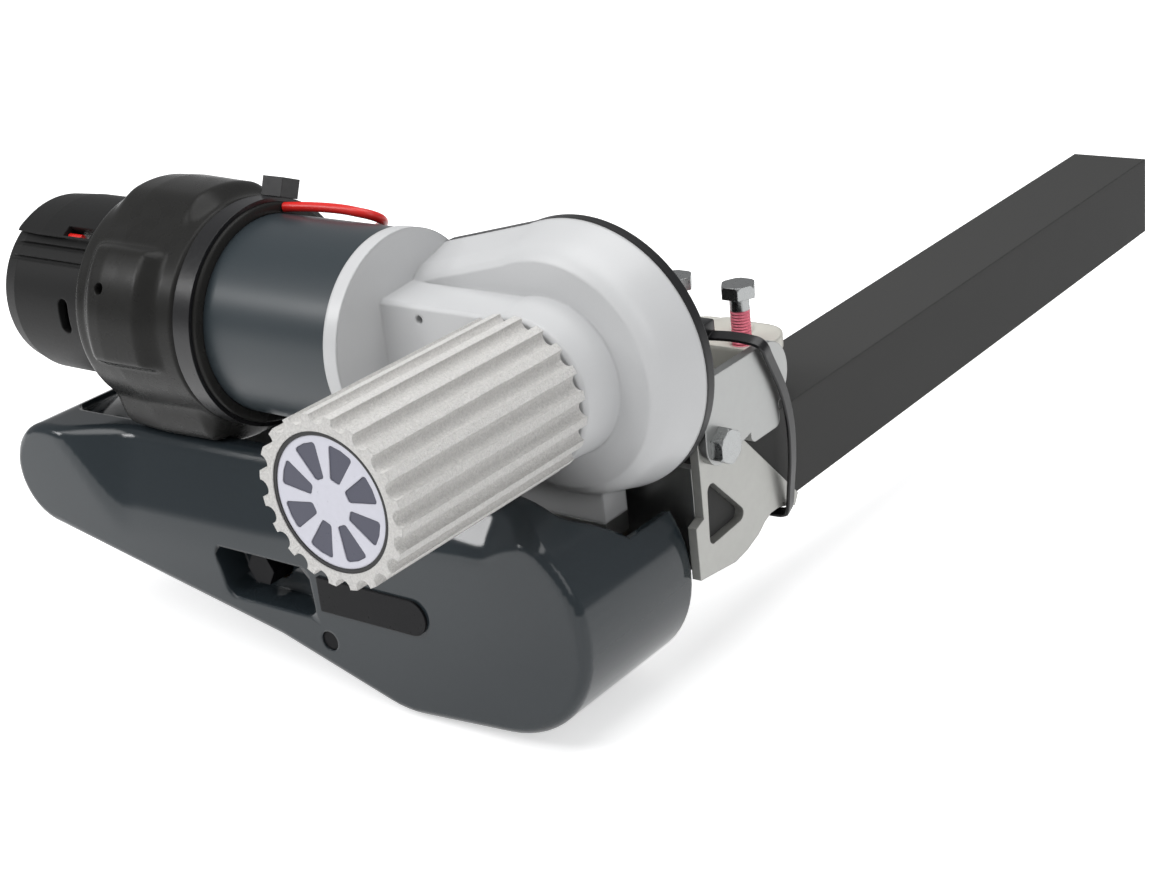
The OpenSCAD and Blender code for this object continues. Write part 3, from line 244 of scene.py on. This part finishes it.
def threaded(name, base, low, high, paint):
    """A bolt finish with thread ridges, painted between two heights of the part's frame."""
    material = base.copy()
    material.name = name
    tree = material.node_tree
    shader = tree.nodes["Principled BSDF"]
    grain = tree.nodes["grain"]
    link = tree.links.new
    where = add(tree, "ShaderNodeTexCoord")
    split = add(tree, "ShaderNodeSeparateXYZ")
    link(where.outputs["Object"], split.inputs["Vector"])
    above = maths(tree, "GREATER_THAN", split.outputs["Z"], low)
    below = maths(tree, "LESS_THAN", split.outputs["Z"], high)
    inside = maths(tree, "MULTIPLY", above, below)
    mix = add(tree, "ShaderNodeMix", data_type="RGBA")
    link(inside, mix.inputs["Factor"])
    link(grain.outputs["Colour"], mix.inputs["A"])
    mix.inputs["B"].default_value = (*paint, 1)
    link(mix.outputs["Result"], shader.inputs["Base Color"])
    painted = maths(tree, "MULTIPLY", inside, PAINT_COVER)
    link(maths(tree, "SUBTRACT", 1, painted), shader.inputs["Metallic"])
    ridges = add(tree, "ShaderNodeTexWave", bands_direction="Z")
    ridges.inputs["Scale"].default_value = RIDGE_SCALE
    link(where.outputs["Object"], ridges.inputs["Vector"])
    bump = add(tree, "ShaderNodeBump")
    bump.inputs["Distance"].default_value = RIDGE_DEPTH
    link(maths(tree, "MULTIPLY", below, RIDGE_STRENGTH), bump.inputs["Strength"])
    link(ridges.outputs["Fac"], bump.inputs["Height"])
    link(grain.outputs["Normal"], bump.inputs["Normal"])
    link(bump.outputs["Normal"], shader.inputs["Normal"])
    return material


for part in frame["record"]["subparts"]:
    mesh = nodes[part["node"]].data
    mesh.materials.clear()
    mesh.materials.append(LOOKS[part["material_slot"]])
bolt_mesh = nodes["clamp_bolts"].data
bolt_mesh.materials.clear()
painted_thread = threaded("painted_thread", LOOKS["zinc_bolts"], PAINT_LOW, PAINT_TOP, THREAD_PAINT)
bolt_mesh.materials.append(painted_thread)


# Smooth shading over the small facets of rounded solids

SAME_POINT = 0.00002
SMOOTH_BELOW = 32
SMOOTH_NODES = ("clamp_jaw", "clamp_arms", "seat_plate", "base_frame", "engage_cam", "gear_housing")


def make_soft_edges():
    """A mesh modifier group that shades as smooth all edges below an angle."""
    tree = bpy.data.node_groups.new("soft_edges", "GeometryNodeTree")
    tree.interface.new_socket("Geometry", in_out="INPUT", socket_type="NodeSocketGeometry")
    tree.interface.new_socket("Geometry", in_out="OUTPUT", socket_type="NodeSocketGeometry")
    start, end = tree.nodes.new("NodeGroupInput"), tree.nodes.new("NodeGroupOutput")
    link = tree.links.new
    merge = add(tree, "GeometryNodeMergeByDistance")
    merge.inputs["Distance"].default_value = SAME_POINT
    strip = add(tree, "GeometryNodeRemoveAttribute")
    strip.inputs["Name"].default_value = "custom_normal"
    faces = add(tree, "GeometryNodeSetShadeSmooth", domain="FACE")
    edges = add(tree, "GeometryNodeSetShadeSmooth", domain="EDGE")
    angle = add(tree, "GeometryNodeInputMeshEdgeAngle")
    low = add(tree, "FunctionNodeCompare", data_type="FLOAT", operation="LESS_THAN")
    low.inputs["B"].default_value = math.radians(SMOOTH_BELOW)
    link(start.outputs["Geometry"], merge.inputs["Geometry"])
    link(merge.outputs["Geometry"], strip.inputs["Geometry"])
    link(strip.outputs["Geometry"], faces.inputs["Geometry"])
    link(faces.outputs["Geometry"], edges.inputs["Geometry"])
    link(angle.outputs["Unsigned Angle"], low.inputs["A"])
    link(low.outputs["Result"], edges.inputs["Shade Smooth"])
    link(edges.outputs["Geometry"], end.inputs["Geometry"])
    return tree


def keep_flats_flat(thing):
    """Normals weighted by area, so that the flats beside roundings stay flat."""
    thing.modifiers.new("even_normals", "WEIGHTED_NORMAL").keep_sharp = True


SOFT_EDGES = make_soft_edges()
for name in SMOOTH_NODES:
    nodes[name].modifiers.new("soft_edges", "NODES").node_group = SOFT_EDGES
    keep_flats_flat(nodes[name])


# Soft pieces, finer than their solids

def smooth_path(points, steps):
    """A rounded path through the points."""
    path = []
    last = len(points) - 1
    for i in range(last):
        before, a, b, after = (points[max(0, min(last, i + k))] for k in (-1, 0, 1, 2))
        for j in range(steps):
            t = j / steps
            path.append(0.5 * (2 * a + (b - before) * t + (2 * before - 5 * a + 4 * b - after) * t * t
                               + (3 * a - before - 3 * b + after) * t * t * t))
    path.append(points[last])
    return path


def sweep(shape, path, section, side):
    """A closed bar along the path: a face of the section, extruded from point to point."""
    places = []
    for i, point in enumerate(path):
        along = (path[min(i + 1, len(path) - 1)] - path[max(i - 1, 0)]).normalized()
        wide = (side - along * side.dot(along)).normalized()
        turn = Matrix((wide, along.cross(wide), along)).transposed().to_4x4()
        places.append(Matrix.Translation(point) @ turn)
    face = shape.faces.new([shape.verts.new(places[0] @ Vector((u, v, 0))) for u, v in section])
    for here, there in zip(places, places[1:]):
        grown = bmesh.ops.extrude_face_region(shape, geom=[face, *face.edges])["geom"]
        ends = [part for part in grown if isinstance(part, bmesh.types.BMVert)]
        bmesh.ops.transform(shape, matrix=there @ here.inverted(), verts=ends)
        face = next(part for part in grown if isinstance(part, bmesh.types.BMFace))


def piece(name, shape, body, slot, sharp=40, stands_for=()):
    """The finished piece from its shape, riding on a body and finished like a record slot."""
    bmesh.ops.recalc_face_normals(shape, faces=shape.faces)
    for face in shape.faces:
        face.smooth = True
    for edge in shape.edges:
        edge.smooth = len(edge.link_faces) < 2 or edge.calc_face_angle(0) < math.radians(sharp)
    mesh = bpy.data.meshes.new(name)
    shape.to_mesh(mesh)
    shape.free()
    mesh.materials.append(LOOKS[slot])
    thing = bpy.data.objects.new(name, mesh)
    bpy.context.scene.collection.objects.link(thing)
    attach(thing, body)
    if stands_for:
        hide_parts(*stands_for)
    return thing


def circle(radius, sides):
    """A round section."""
    turns = [2 * math.pi * i / sides for i in range(sides)]
    return [(radius * math.cos(turn), radius * math.sin(turn)) for turn in turns]


LEAD_R, LEAD_SIDES, LEAD_STEPS = 2.0, 20, 5
LEAD = [
    (-134.5, 130.5, 51.2), (-128, 131.5, 51.6), (-121, 132, 52), (-112, 132.6, 52.2), (-104, 133.2, 52),
    (-98, 134.6, 51), (-94.5, 137, 49.6), (-93.2, 140.2, 47.6), (-94.2, 143.6, 45.2), (-97.3, 146.6, 42.8),
    (-102, 149.3, 40.2), (-108, 151.6, 37.4), (-115, 153.6, 34.6), (-124, 155.2, 32), (-134.4, 156.2, 30),
]
lead_path = smooth_path([place(*p) for p in LEAD], LEAD_STEPS)
lead_shape = bmesh.new()
sweep(lead_shape, lead_path, circle(LEAD_R * MM, LEAD_SIDES), Vector((0.1, 0.5, 1)))
lead = piece("lead_cover", lead_shape, "drive", "red_lead", stands_for=["motor_lead"])


# Boot: the solid's sleeve in fine steps, with a fuller low pad and a blind vent

MOTOR_Y, MOTOR_Z, BOOT_X, BOOT_R = 117.2, 10.3, -205.0, 46.5
BOOT_ROUND, BOOT_TUCK, BOOT_FULL, BOOT_LEN = 2.5, 1.8, 22.0, 57.0
BOOT_BORE, BOOT_TURNS = 40.6, 240
PAD_RISE, LOW_PAD_RISE = 5, 9
PAD_ENDS, PAD_LIMIT, PAD_LEAST_R = 9, 57.1, 42
LIP_TOP, LIP_SLOPE, LIP_EDGE = -40.4, 0.022, 98.8
NECK = [
    (57.3, 46.2), (57.8, 45.4), (58.4, 45.05), (59, 45), (69, 45), (69.7, 44.7), (70, 44.2),
    (70, BOOT_BORE), (0, BOOT_BORE),
]


def ease(t):
    """A smooth step from 0 to 1."""
    t = max(0.0, min(1.0, t))
    return t * t * (3 - 2 * t)


def swell(v, low, high, soft):
    """1 between two limits, with soft ends."""
    return ease((v - low) / soft) * ease((high - v) / soft)


def pad(x, a, at, half, soft, low, high):
    """1 on a pad at an angle round the boot and between two limits along it, with soft sides."""
    away = abs((a - at + 540) % 360 - 180)
    return swell(x, low, high, PAD_ENDS) * ease((half - away) / soft)


def boot_swell(x, a):
    """Height of the pads at a point along the boot and an angle round it."""
    sides = pad(x, a, 164, 33, 8, 7, 50) + pad(x, a, 344, 33, 8, 7, 50)
    top = pad(x, a, 84, 40, 24, 2, 56)
    return PAD_RISE * (sides + top) + LOW_PAD_RISE * pad(x, a, 264, 42, 20, -9, 58)


def boot_sleeve(x):
    """Radius of the boot between its pads."""
    if x <= BOOT_ROUND:
        return BOOT_R - BOOT_TUCK + BOOT_TUCK * math.sin(math.pi / 2 * x / BOOT_ROUND)
    rise = (x - BOOT_ROUND) / (BOOT_FULL - BOOT_ROUND)
    return BOOT_R + min(rise, (BOOT_LEN - x) / (BOOT_LEN - BOOT_FULL))


skin = [(x, boot_sleeve(x)) for x in [0, 0.3, 0.8, 1.5, BOOT_ROUND, *range(4, 58)]]
boot_shape = bmesh.new()
rim = [boot_shape.verts.new(place(BOOT_X + x, MOTOR_Y + r, MOTOR_Z)) for x, r in skin + NECK]
outline = [boot_shape.edges.new(pair) for pair in zip(rim, rim[1:] + rim[:1])]
middle_line = place(BOOT_X, MOTOR_Y, MOTOR_Z)
bmesh.ops.spin(boot_shape, geom=rim + outline, cent=middle_line, axis=(1, 0, 0), angle=2 * math.pi,
               steps=BOOT_TURNS, use_merge=True)
for vert in boot_shape.verts:
    x = (vert.co.x - middle_line.x) / MM
    across = Vector((0, vert.co.y - middle_line.y, vert.co.z - middle_line.z))
    if x < PAD_LIMIT and across.length > PAD_LEAST_R * MM:
        around = math.degrees(math.atan2(across.z, across.y))
        vert.co += across.normalized() * boot_swell(x, around) * MM
        # The low pad lies flat over the lip of the lower cover
        lip = place(0, LIP_EDGE, LIP_TOP + LIP_SLOPE * x)
        if vert.co.y < lip.y:
            vert.co.z = max(vert.co.z, lip.z)


def outward(degrees):
    """Direction away from the motor axis, turned up from the front."""
    return Vector((0, -math.cos(math.radians(degrees)), math.sin(math.radians(degrees))))


def sink_vent(shape, mouth, out, radius, depth):
    """A round blind hole: the patch of faces round the mouth, drawn to a circle and pushed in."""
    def aside(point):
        return (point - mouth) - out * (point - mouth).dot(out)

    def in_mouth(face):
        middle = face.calc_center_median()
        near = aside(middle).length < radius and abs((middle - mouth).dot(out)) < radius
        return near and face.normal.dot(out) ** 2 > 0.5

    patch = [f for f in shape.faces if in_mouth(f)]
    for vert in {v for f in patch for v in f.verts}:
        if any(f not in patch for f in vert.link_faces):
            off = aside(vert.co)
            vert.co += off.normalized() * radius - off
    rims = list(dict.fromkeys(e for f in patch for e in f.edges))
    grown = bmesh.ops.extrude_face_region(shape, geom=patch + rims)["geom"]
    floor = [part for part in grown if isinstance(part, bmesh.types.BMVert)]
    bmesh.ops.translate(shape, verts=floor, vec=out * -depth)


VENT_X, VENT_TURN, VENT_R, VENT_DEPTH = 21.8, 23.5, 2.5, 7.0
boot_shape.normal_update()
vent_out = outward(VENT_TURN)
vent_at = place(BOOT_X + VENT_X, MOTOR_Y, MOTOR_Z) + vent_out * (boot_sleeve(VENT_X) + PAD_RISE) * MM
sink_vent(boot_shape, vent_at, vent_out, VENT_R * MM, VENT_DEPTH * MM)
piece("boot_skin", boot_shape, "drive", "boot_rubber", sharp=60, stands_for=["rubber_boot"])


# Sleeve on the terminal, seen through the slot of the bell

SLEEVE_R, SLEEVE_LEN, SLEEVE_SIDES = 1.6, 8, 24
SLEEVE_BACK, SLEEVE_TURN, SLEEVE_OUT = 20, 55, 36
sleeve_shape = bmesh.new()
sleeve = bmesh.ops.create_cone(sleeve_shape, cap_ends=True, segments=SLEEVE_SIDES, radius1=SLEEVE_R * MM,
                               radius2=SLEEVE_R * MM, depth=SLEEVE_LEN * MM)["verts"]
along_motor = Matrix.Rotation(math.pi / 2, 3, "Y")
bmesh.ops.rotate(sleeve_shape, verts=sleeve, cent=(0, 0, 0), matrix=along_motor)
sleeve_at = place(BOOT_X - SLEEVE_BACK, MOTOR_Y, MOTOR_Z) + outward(SLEEVE_TURN) * SLEEVE_OUT * MM
bmesh.ops.translate(sleeve_shape, verts=sleeve, vec=sleeve_at)
piece("terminal_sleeve", sleeve_shape, "drive", "red_lead")


# Cable tie over the arms: a flat strap with a bevelled lock

NEAR, FAR = 48.4, -11.5
LOW, TOP = -86.2, -5.5
ARM_Y, LOCK = 192.0, 20.0
LOCK_SIZE, LOCK_RISE, LOCK_ROUND = (10, 8, 8), 2.3, 1.0
HALF_WIDE, HALF_THICK, NICK, STRAP_STEPS = 2.4 * MM, 0.8 * MM, 0.4 * MM, 4
STRAP = [
    (LOCK + 1, ARM_Y, TOP), (LOCK + 8, ARM_Y + 0.5, TOP + 0.6), (LOCK + 15, ARM_Y + 0.8, TOP + 0.9),
    (NEAR - 6, ARM_Y + 0.5, TOP + 0.8), (NEAR - 2, ARM_Y + 0.5, TOP + 0.2),
    (NEAR + 0.3, ARM_Y + 1.2, TOP - 2), (NEAR + 0.3, ARM_Y + 3.8, TOP - 7),
    (NEAR + 0.2, ARM_Y + 7.4, TOP - 13.5), (NEAR + 0.2, ARM_Y + 11.2, TOP - 21),
    (NEAR + 0.1, ARM_Y + 14.2, TOP - 29), (NEAR, ARM_Y + 16.2, TOP - 38),
    (NEAR - 0.4, ARM_Y + 17.2, TOP - 47), (NEAR - 1.2, ARM_Y + 17.6, TOP - 57),
    (NEAR - 2.6, ARM_Y + 17.8, TOP - 67), (NEAR - 4.2, ARM_Y + 18, LOW + 3),
    (NEAR - 6.5, ARM_Y + 18, LOW + 0.6), (NEAR - 11, ARM_Y + 18, LOW), (18.5, ARM_Y + 17.5, LOW),
    (0.5, ARM_Y + 16, LOW), (-3.5, ARM_Y + 15.5, LOW + 0.8), (-3.8, ARM_Y + 15.5, LOW + 4),
    (-4, ARM_Y + 15.3, LOW + 20), (-5, ARM_Y + 15, LOW + 32), (-8.5, ARM_Y + 14, LOW + 42),
    (FAR, ARM_Y + 12.5, TOP - 26), (FAR, ARM_Y + 11, TOP - 18), (FAR, ARM_Y + 7.5, TOP - 9),
    (FAR - 0.3, ARM_Y + 2.5, TOP - 4.5), (FAR - 0.3, ARM_Y + 0.6, TOP - 0.8),
    (FAR + 4, ARM_Y, TOP + 0.2), (LOCK - 10, ARM_Y, TOP), (LOCK - 1, ARM_Y, TOP),
]
strap_section = [
    (HALF_WIDE, NICK), (HALF_WIDE - NICK, HALF_THICK), (NICK - HALF_WIDE, HALF_THICK), (-HALF_WIDE, NICK),
    (-HALF_WIDE, -NICK), (NICK - HALF_WIDE, -HALF_THICK), (HALF_WIDE - NICK, -HALF_THICK), (HALF_WIDE, -NICK),
]
strap_shape = bmesh.new()
strap_path = smooth_path([place(*p) for p in STRAP], STRAP_STEPS)
sweep(strap_shape, strap_path, strap_section, Vector((0, 0.9, 0.43)))
lock = bmesh.ops.create_cube(strap_shape, size=1)["verts"]
bmesh.ops.scale(strap_shape, verts=lock, vec=[side * MM for side in LOCK_SIZE])
bmesh.ops.translate(strap_shape, verts=lock, vec=place(LOCK, ARM_Y, TOP + LOCK_RISE))
lock_edges = list(dict.fromkeys(e for v in lock for e in v.link_edges))
bmesh.ops.bevel(strap_shape, geom=lock_edges, offset=LOCK_ROUND * MM, segments=2, affect="EDGES",
                profile=0.5, material=-1)
piece("arm_strap", strap_shape, "frame", "black_nylon", sharp=30, stands_for=["arm_tie"])


# Lower cover: its solid with a broad sloped shoulder along the top of the front, a softened
# recess, and the sharp corner of its wall beside the gear case taken off

COVER_FRONT, COVER_RIM = 77.0, 81.8
NOSE_X, NOSE_TOP, MID_X, MID_TOP = -250.0, -42.0, -112.0, -39.0
END_X, END_Z, END_R = -8.0, -85.0, 46.5
SHOULDER_WIDE, SHOULDER_NARROW, SHOULDER_LEAST = 50.0, 24.0, 0.5
SHOULDER_FALL, SHOULDER_SOFT = 13.0, 0.5
SHOULDER_START, SHOULDER_FULL, SHOULDER_FOOT = -250.0, -203.0, -90.0
NARROW_START, SHOULDER_TURN = -130.0, 45.0
SHOULDER_ROWS = range(-88, -38, 2)
SHOULDER_COLUMNS = [*range(-248, -80, 4), *range(-80, 40, 2)]
RECESS_CORNERS = [(-153.9, -80.0), (-147.9, -102.0), (-98.9, -102.0), (-98.9, -80.0)]
RECESS_LEFT, RECESS_RIGHT, RECESS_LOW, RECESS_HIGH = -155, -97, -103, -79
RECESS_BACK, RECESS_ROUND, RECESS_LIP = 92.0, 4.5, 1.2
PEAK_START, PEAK_END, PEAK_FOOT = (18.7, 101.6), (31.0, 119.5), -60.0
PEAK_WALL = Vector((12, 95, -75))
PEAK_FRONT = 100
CUT_NEAR, CORNER_NEAR, FRONT_NEAR, FLAT_FACE = 1e-7, 0.4, 0.02, 0.9


def cover_depth(x, z):
    """Distance of a point of the front below the cover's top outline."""
    if x > END_X:
        return END_R - math.hypot(x - END_X, z - END_Z)
    if x > MID_X:
        top = MID_TOP + (END_Z + END_R - MID_TOP) * (x - MID_X) / (END_X - MID_X)
    else:
        top = NOSE_TOP + (MID_TOP - NOSE_TOP) * (x - NOSE_X) / (MID_X - NOSE_X)
    return top - z


def shoulder_fall(x, z):
    """How far the front falls back at a point of the shoulder."""
    turn = math.degrees(math.atan2(x - END_X, z - END_Z)) if x > END_X else 0
    narrow = ease((x - NARROW_START) / (END_X - NARROW_START))
    wide = SHOULDER_WIDE + (SHOULDER_NARROW - SHOULDER_WIDE) * narrow
    slope = SHOULDER_FALL / wide / (1 - SHOULDER_SOFT / 2)
    wide *= ease((x - SHOULDER_START) / (SHOULDER_FULL - SHOULDER_START))
    wide *= 1 - ease(turn / SHOULDER_TURN)
    if wide < SHOULDER_LEAST:
        return 0
    u = max(0, 1 - max(0, cover_depth(x, z)) / wide) / SHOULDER_SOFT
    if u < 1:
        return slope * wide * SHOULDER_SOFT * (u ** 3 - u ** 4 / 2)
    return slope * wide * SHOULDER_SOFT * (u - 0.5)


def drive_point(point):
    """A point of the part's frame in the drive frame, in millimetres."""
    return point / MM + SEAT


def on_front(verts):
    """Whether all these points lie on the front or its rim."""
    return max(v.co.y for v in verts) < place(0, COVER_RIM, 0).y


def cut_faces(shape, faces, at, across):
    """Edges across these faces where a plane meets them."""
    edges = dict.fromkeys(e for f in faces for e in f.edges)
    verts = dict.fromkeys(v for f in faces for v in f.verts)
    bmesh.ops.bisect_plane(shape, geom=[*faces, *edges, *verts], dist=CUT_NEAR, plane_co=at, plane_no=across)


def soften_recess(shape):
    """Rounded corners and a soft lip on the recess of the hand spindle."""
    def at_corner(edge):
        spots = [drive_point(v.co) for v in edge.verts]
        outside = max(p.y for p in spots) < RECESS_BACK + CORNER_NEAR
        return outside and any(all(math.hypot(p.x - x, p.z - z) < CORNER_NEAR for p in spots)
                               for x, z in RECESS_CORNERS)

    def in_window(p):
        across = RECESS_LEFT < p.x < RECESS_RIGHT and RECESS_LOW < p.z < RECESS_HIGH
        return across and abs(p.y - COVER_FRONT) < FRONT_NEAR

    def on_lip(edge):
        flat = sorted(abs(f.normal.y) > FLAT_FACE for f in edge.link_faces)
        return flat == [False, True] and all(in_window(drive_point(v.co)) for v in edge.verts)

    for wanted, size, steps in ((at_corner, RECESS_ROUND, 5), (on_lip, RECESS_LIP, 3)):
        shape.normal_update()
        bmesh.ops.bevel(shape, geom=[e for e in shape.edges if wanted(e)], offset=size * MM, segments=steps,
                        affect="EDGES", profile=0.5, material=-1)


def slope_shoulder(shape):
    """The upper front, cut into a fine grid and moved back to its slope."""
    front = [f for f in shape.faces if on_front(f.verts)]
    cut_faces(shape, front, place(0, 0, SHOULDER_FOOT), (0, 0, 1))
    rows = [(place(0, 0, z), (0, 0, 1)) for z in SHOULDER_ROWS]
    columns = [(place(x, 0, 0), (1, 0, 0)) for x in SHOULDER_COLUMNS]
    for at, across in rows + columns:
        upper = [f for f in shape.faces if on_front(f.verts)
                 and drive_point(f.calc_center_median()).z > SHOULDER_FOOT]
        cut_faces(shape, upper, at, across)
    for vert in shape.verts:
        spot = drive_point(vert.co)
        if spot.y < COVER_RIM and spot.z > SHOULDER_FOOT:
            vert.co.y += shoulder_fall(spot.x, spot.z) * MM


def trim_peak(shape, start, end, foot):
    """The corner of the wall between two cuts, taken off along a line seen from above."""
    along = place(*end, 0) - place(*start, 0)
    upright = Vector((0, 0, 1))
    out = along.cross(upright).normalized()

    def on_wall(face):
        middle = drive_point(face.calc_center_median())
        behind = max(drive_point(v.co).y for v in face.verts) > PEAK_WALL.y
        return behind and middle.x > PEAK_WALL.x and middle.z > PEAK_WALL.z

    def in_peak(face):
        middle = face.calc_center_median()
        spot = drive_point(middle)
        inside = spot.x > start[0] - 1 and PEAK_FRONT < spot.y < end[1] + 0.1 and spot.z > foot
        return inside and (middle - place(*start, 0)).dot(out) < -1e-6

    for at, across in ((place(*start, 0), out), (place(0, 0, foot), upright)):
        cut_faces(shape, [f for f in shape.faces if on_wall(f)], at, across)
    bmesh.ops.delete(shape, geom=[f for f in shape.faces if in_peak(f)], context="FACES")
    bmesh.ops.holes_fill(shape, edges=[e for e in shape.edges if len(e.link_faces) == 1], sides=0)


cover_shape = bmesh.new()
cover_shape.from_mesh(nodes["lower_cover"].data)
bmesh.ops.remove_doubles(cover_shape, verts=cover_shape.verts, dist=SAME_POINT)
flat_edges = [e for e in cover_shape.edges if on_front(e.verts)]
flat_verts = list(dict.fromkeys(v for e in flat_edges for v in e.verts))
bmesh.ops.dissolve_limit(cover_shape, angle_limit=math.radians(0.5), verts=flat_verts, edges=flat_edges)
soften_recess(cover_shape)
slope_shoulder(cover_shape)
trim_peak(cover_shape, PEAK_START, PEAK_END, PEAK_FOOT)
cover = piece("cover_shell", cover_shape, "frame", "slate_cover", sharp=SMOOTH_BELOW,
              stands_for=["lower_cover"])
keep_flats_flat(cover)


# Floor, sky and lights

FLOOR_SIZE, FLOOR_DROP = 30, 0.002
FLOOR_COLOUR, FLOOR_ROUGH, FLOOR_GLOW = (0.93, 0.93, 0.93, 1), 0.8, 0.55
SKY_COLOUR, SKY_STRENGTH = (0.98, 0.985, 1.0, 1), 0.40

floor_mesh = bpy.data.meshes.new("floor")
floor_shape = bmesh.new()
bmesh.ops.create_grid(floor_shape, x_segments=1, y_segments=1, size=FLOOR_SIZE)
bmesh.ops.translate(floor_shape, verts=floor_shape.verts, vec=(0, 0, cad_low.z - FLOOR_DROP))
floor_shape.to_mesh(floor_mesh)
floor_shape.free()
floor = bpy.data.objects.new("floor", floor_mesh)
bpy.context.scene.collection.objects.link(floor)
floor_look = bpy.data.materials.new("floor")
floor_look.use_nodes = True
floor_tree = floor_look.node_tree
floor_shader = floor_tree.nodes["Principled BSDF"]
floor_shader.inputs["Base Color"].default_value = FLOOR_COLOUR
floor_shader.inputs["Roughness"].default_value = FLOOR_ROUGH
floor_shader.inputs["Emission Color"].default_value = (1, 1, 1, 1)
seen = add(floor_tree, "ShaderNodeLightPath")
direct = maths(floor_tree, "ADD", seen.outputs["Is Camera Ray"], seen.outputs["Is Glossy Ray"])
shown = maths(floor_tree, "ADD", direct, seen.outputs["Is Transmission Ray"])
glow = maths(floor_tree, "MULTIPLY", shown, FLOOR_GLOW)
floor_tree.links.new(glow, floor_shader.inputs["Emission Strength"])
floor_mesh.materials.append(floor_look)

world = bpy.data.worlds.new("studio")
bpy.context.scene.world = world
world.use_nodes = True
sky = world.node_tree.nodes["Background"]
sky.inputs["Color"].default_value = SKY_COLOUR
sky.inputs["Strength"].default_value = SKY_STRENGTH


def softbox(name, at, aim, wide, tall, power):
    """A rectangular lamp that looks at a point."""
    lamp = bpy.data.lights.new(name, "AREA")
    lamp.shape = "RECTANGLE"
    lamp.size = wide
    lamp.size_y = tall
    lamp.energy = power
    thing = bpy.data.objects.new(name, lamp)
    bpy.context.scene.collection.objects.link(thing)
    spot = Vector(at)
    thing.location = spot
    thing.rotation_mode = "QUATERNION"
    thing.rotation_quaternion = (Vector(aim) - spot).to_track_quat("-Z", "Y")


middle = (cad_low + cad_high) / 2
softbox("key", (-0.7, -1.3, 1.5), (-0.05, -0.15, 0), 1.2, 0.9, 14)
softbox("shine", (-1.31, -1.38, 0.93), (-0.05, -0.14, -0.02), 0.5, 0.3, 7)
softbox("top", (0.1, 0.1, 1.8), middle, 1.6, 1.6, 25)
softbox("side", (1.5, -0.5, 0.9), middle, 0.9, 0.9, 5)
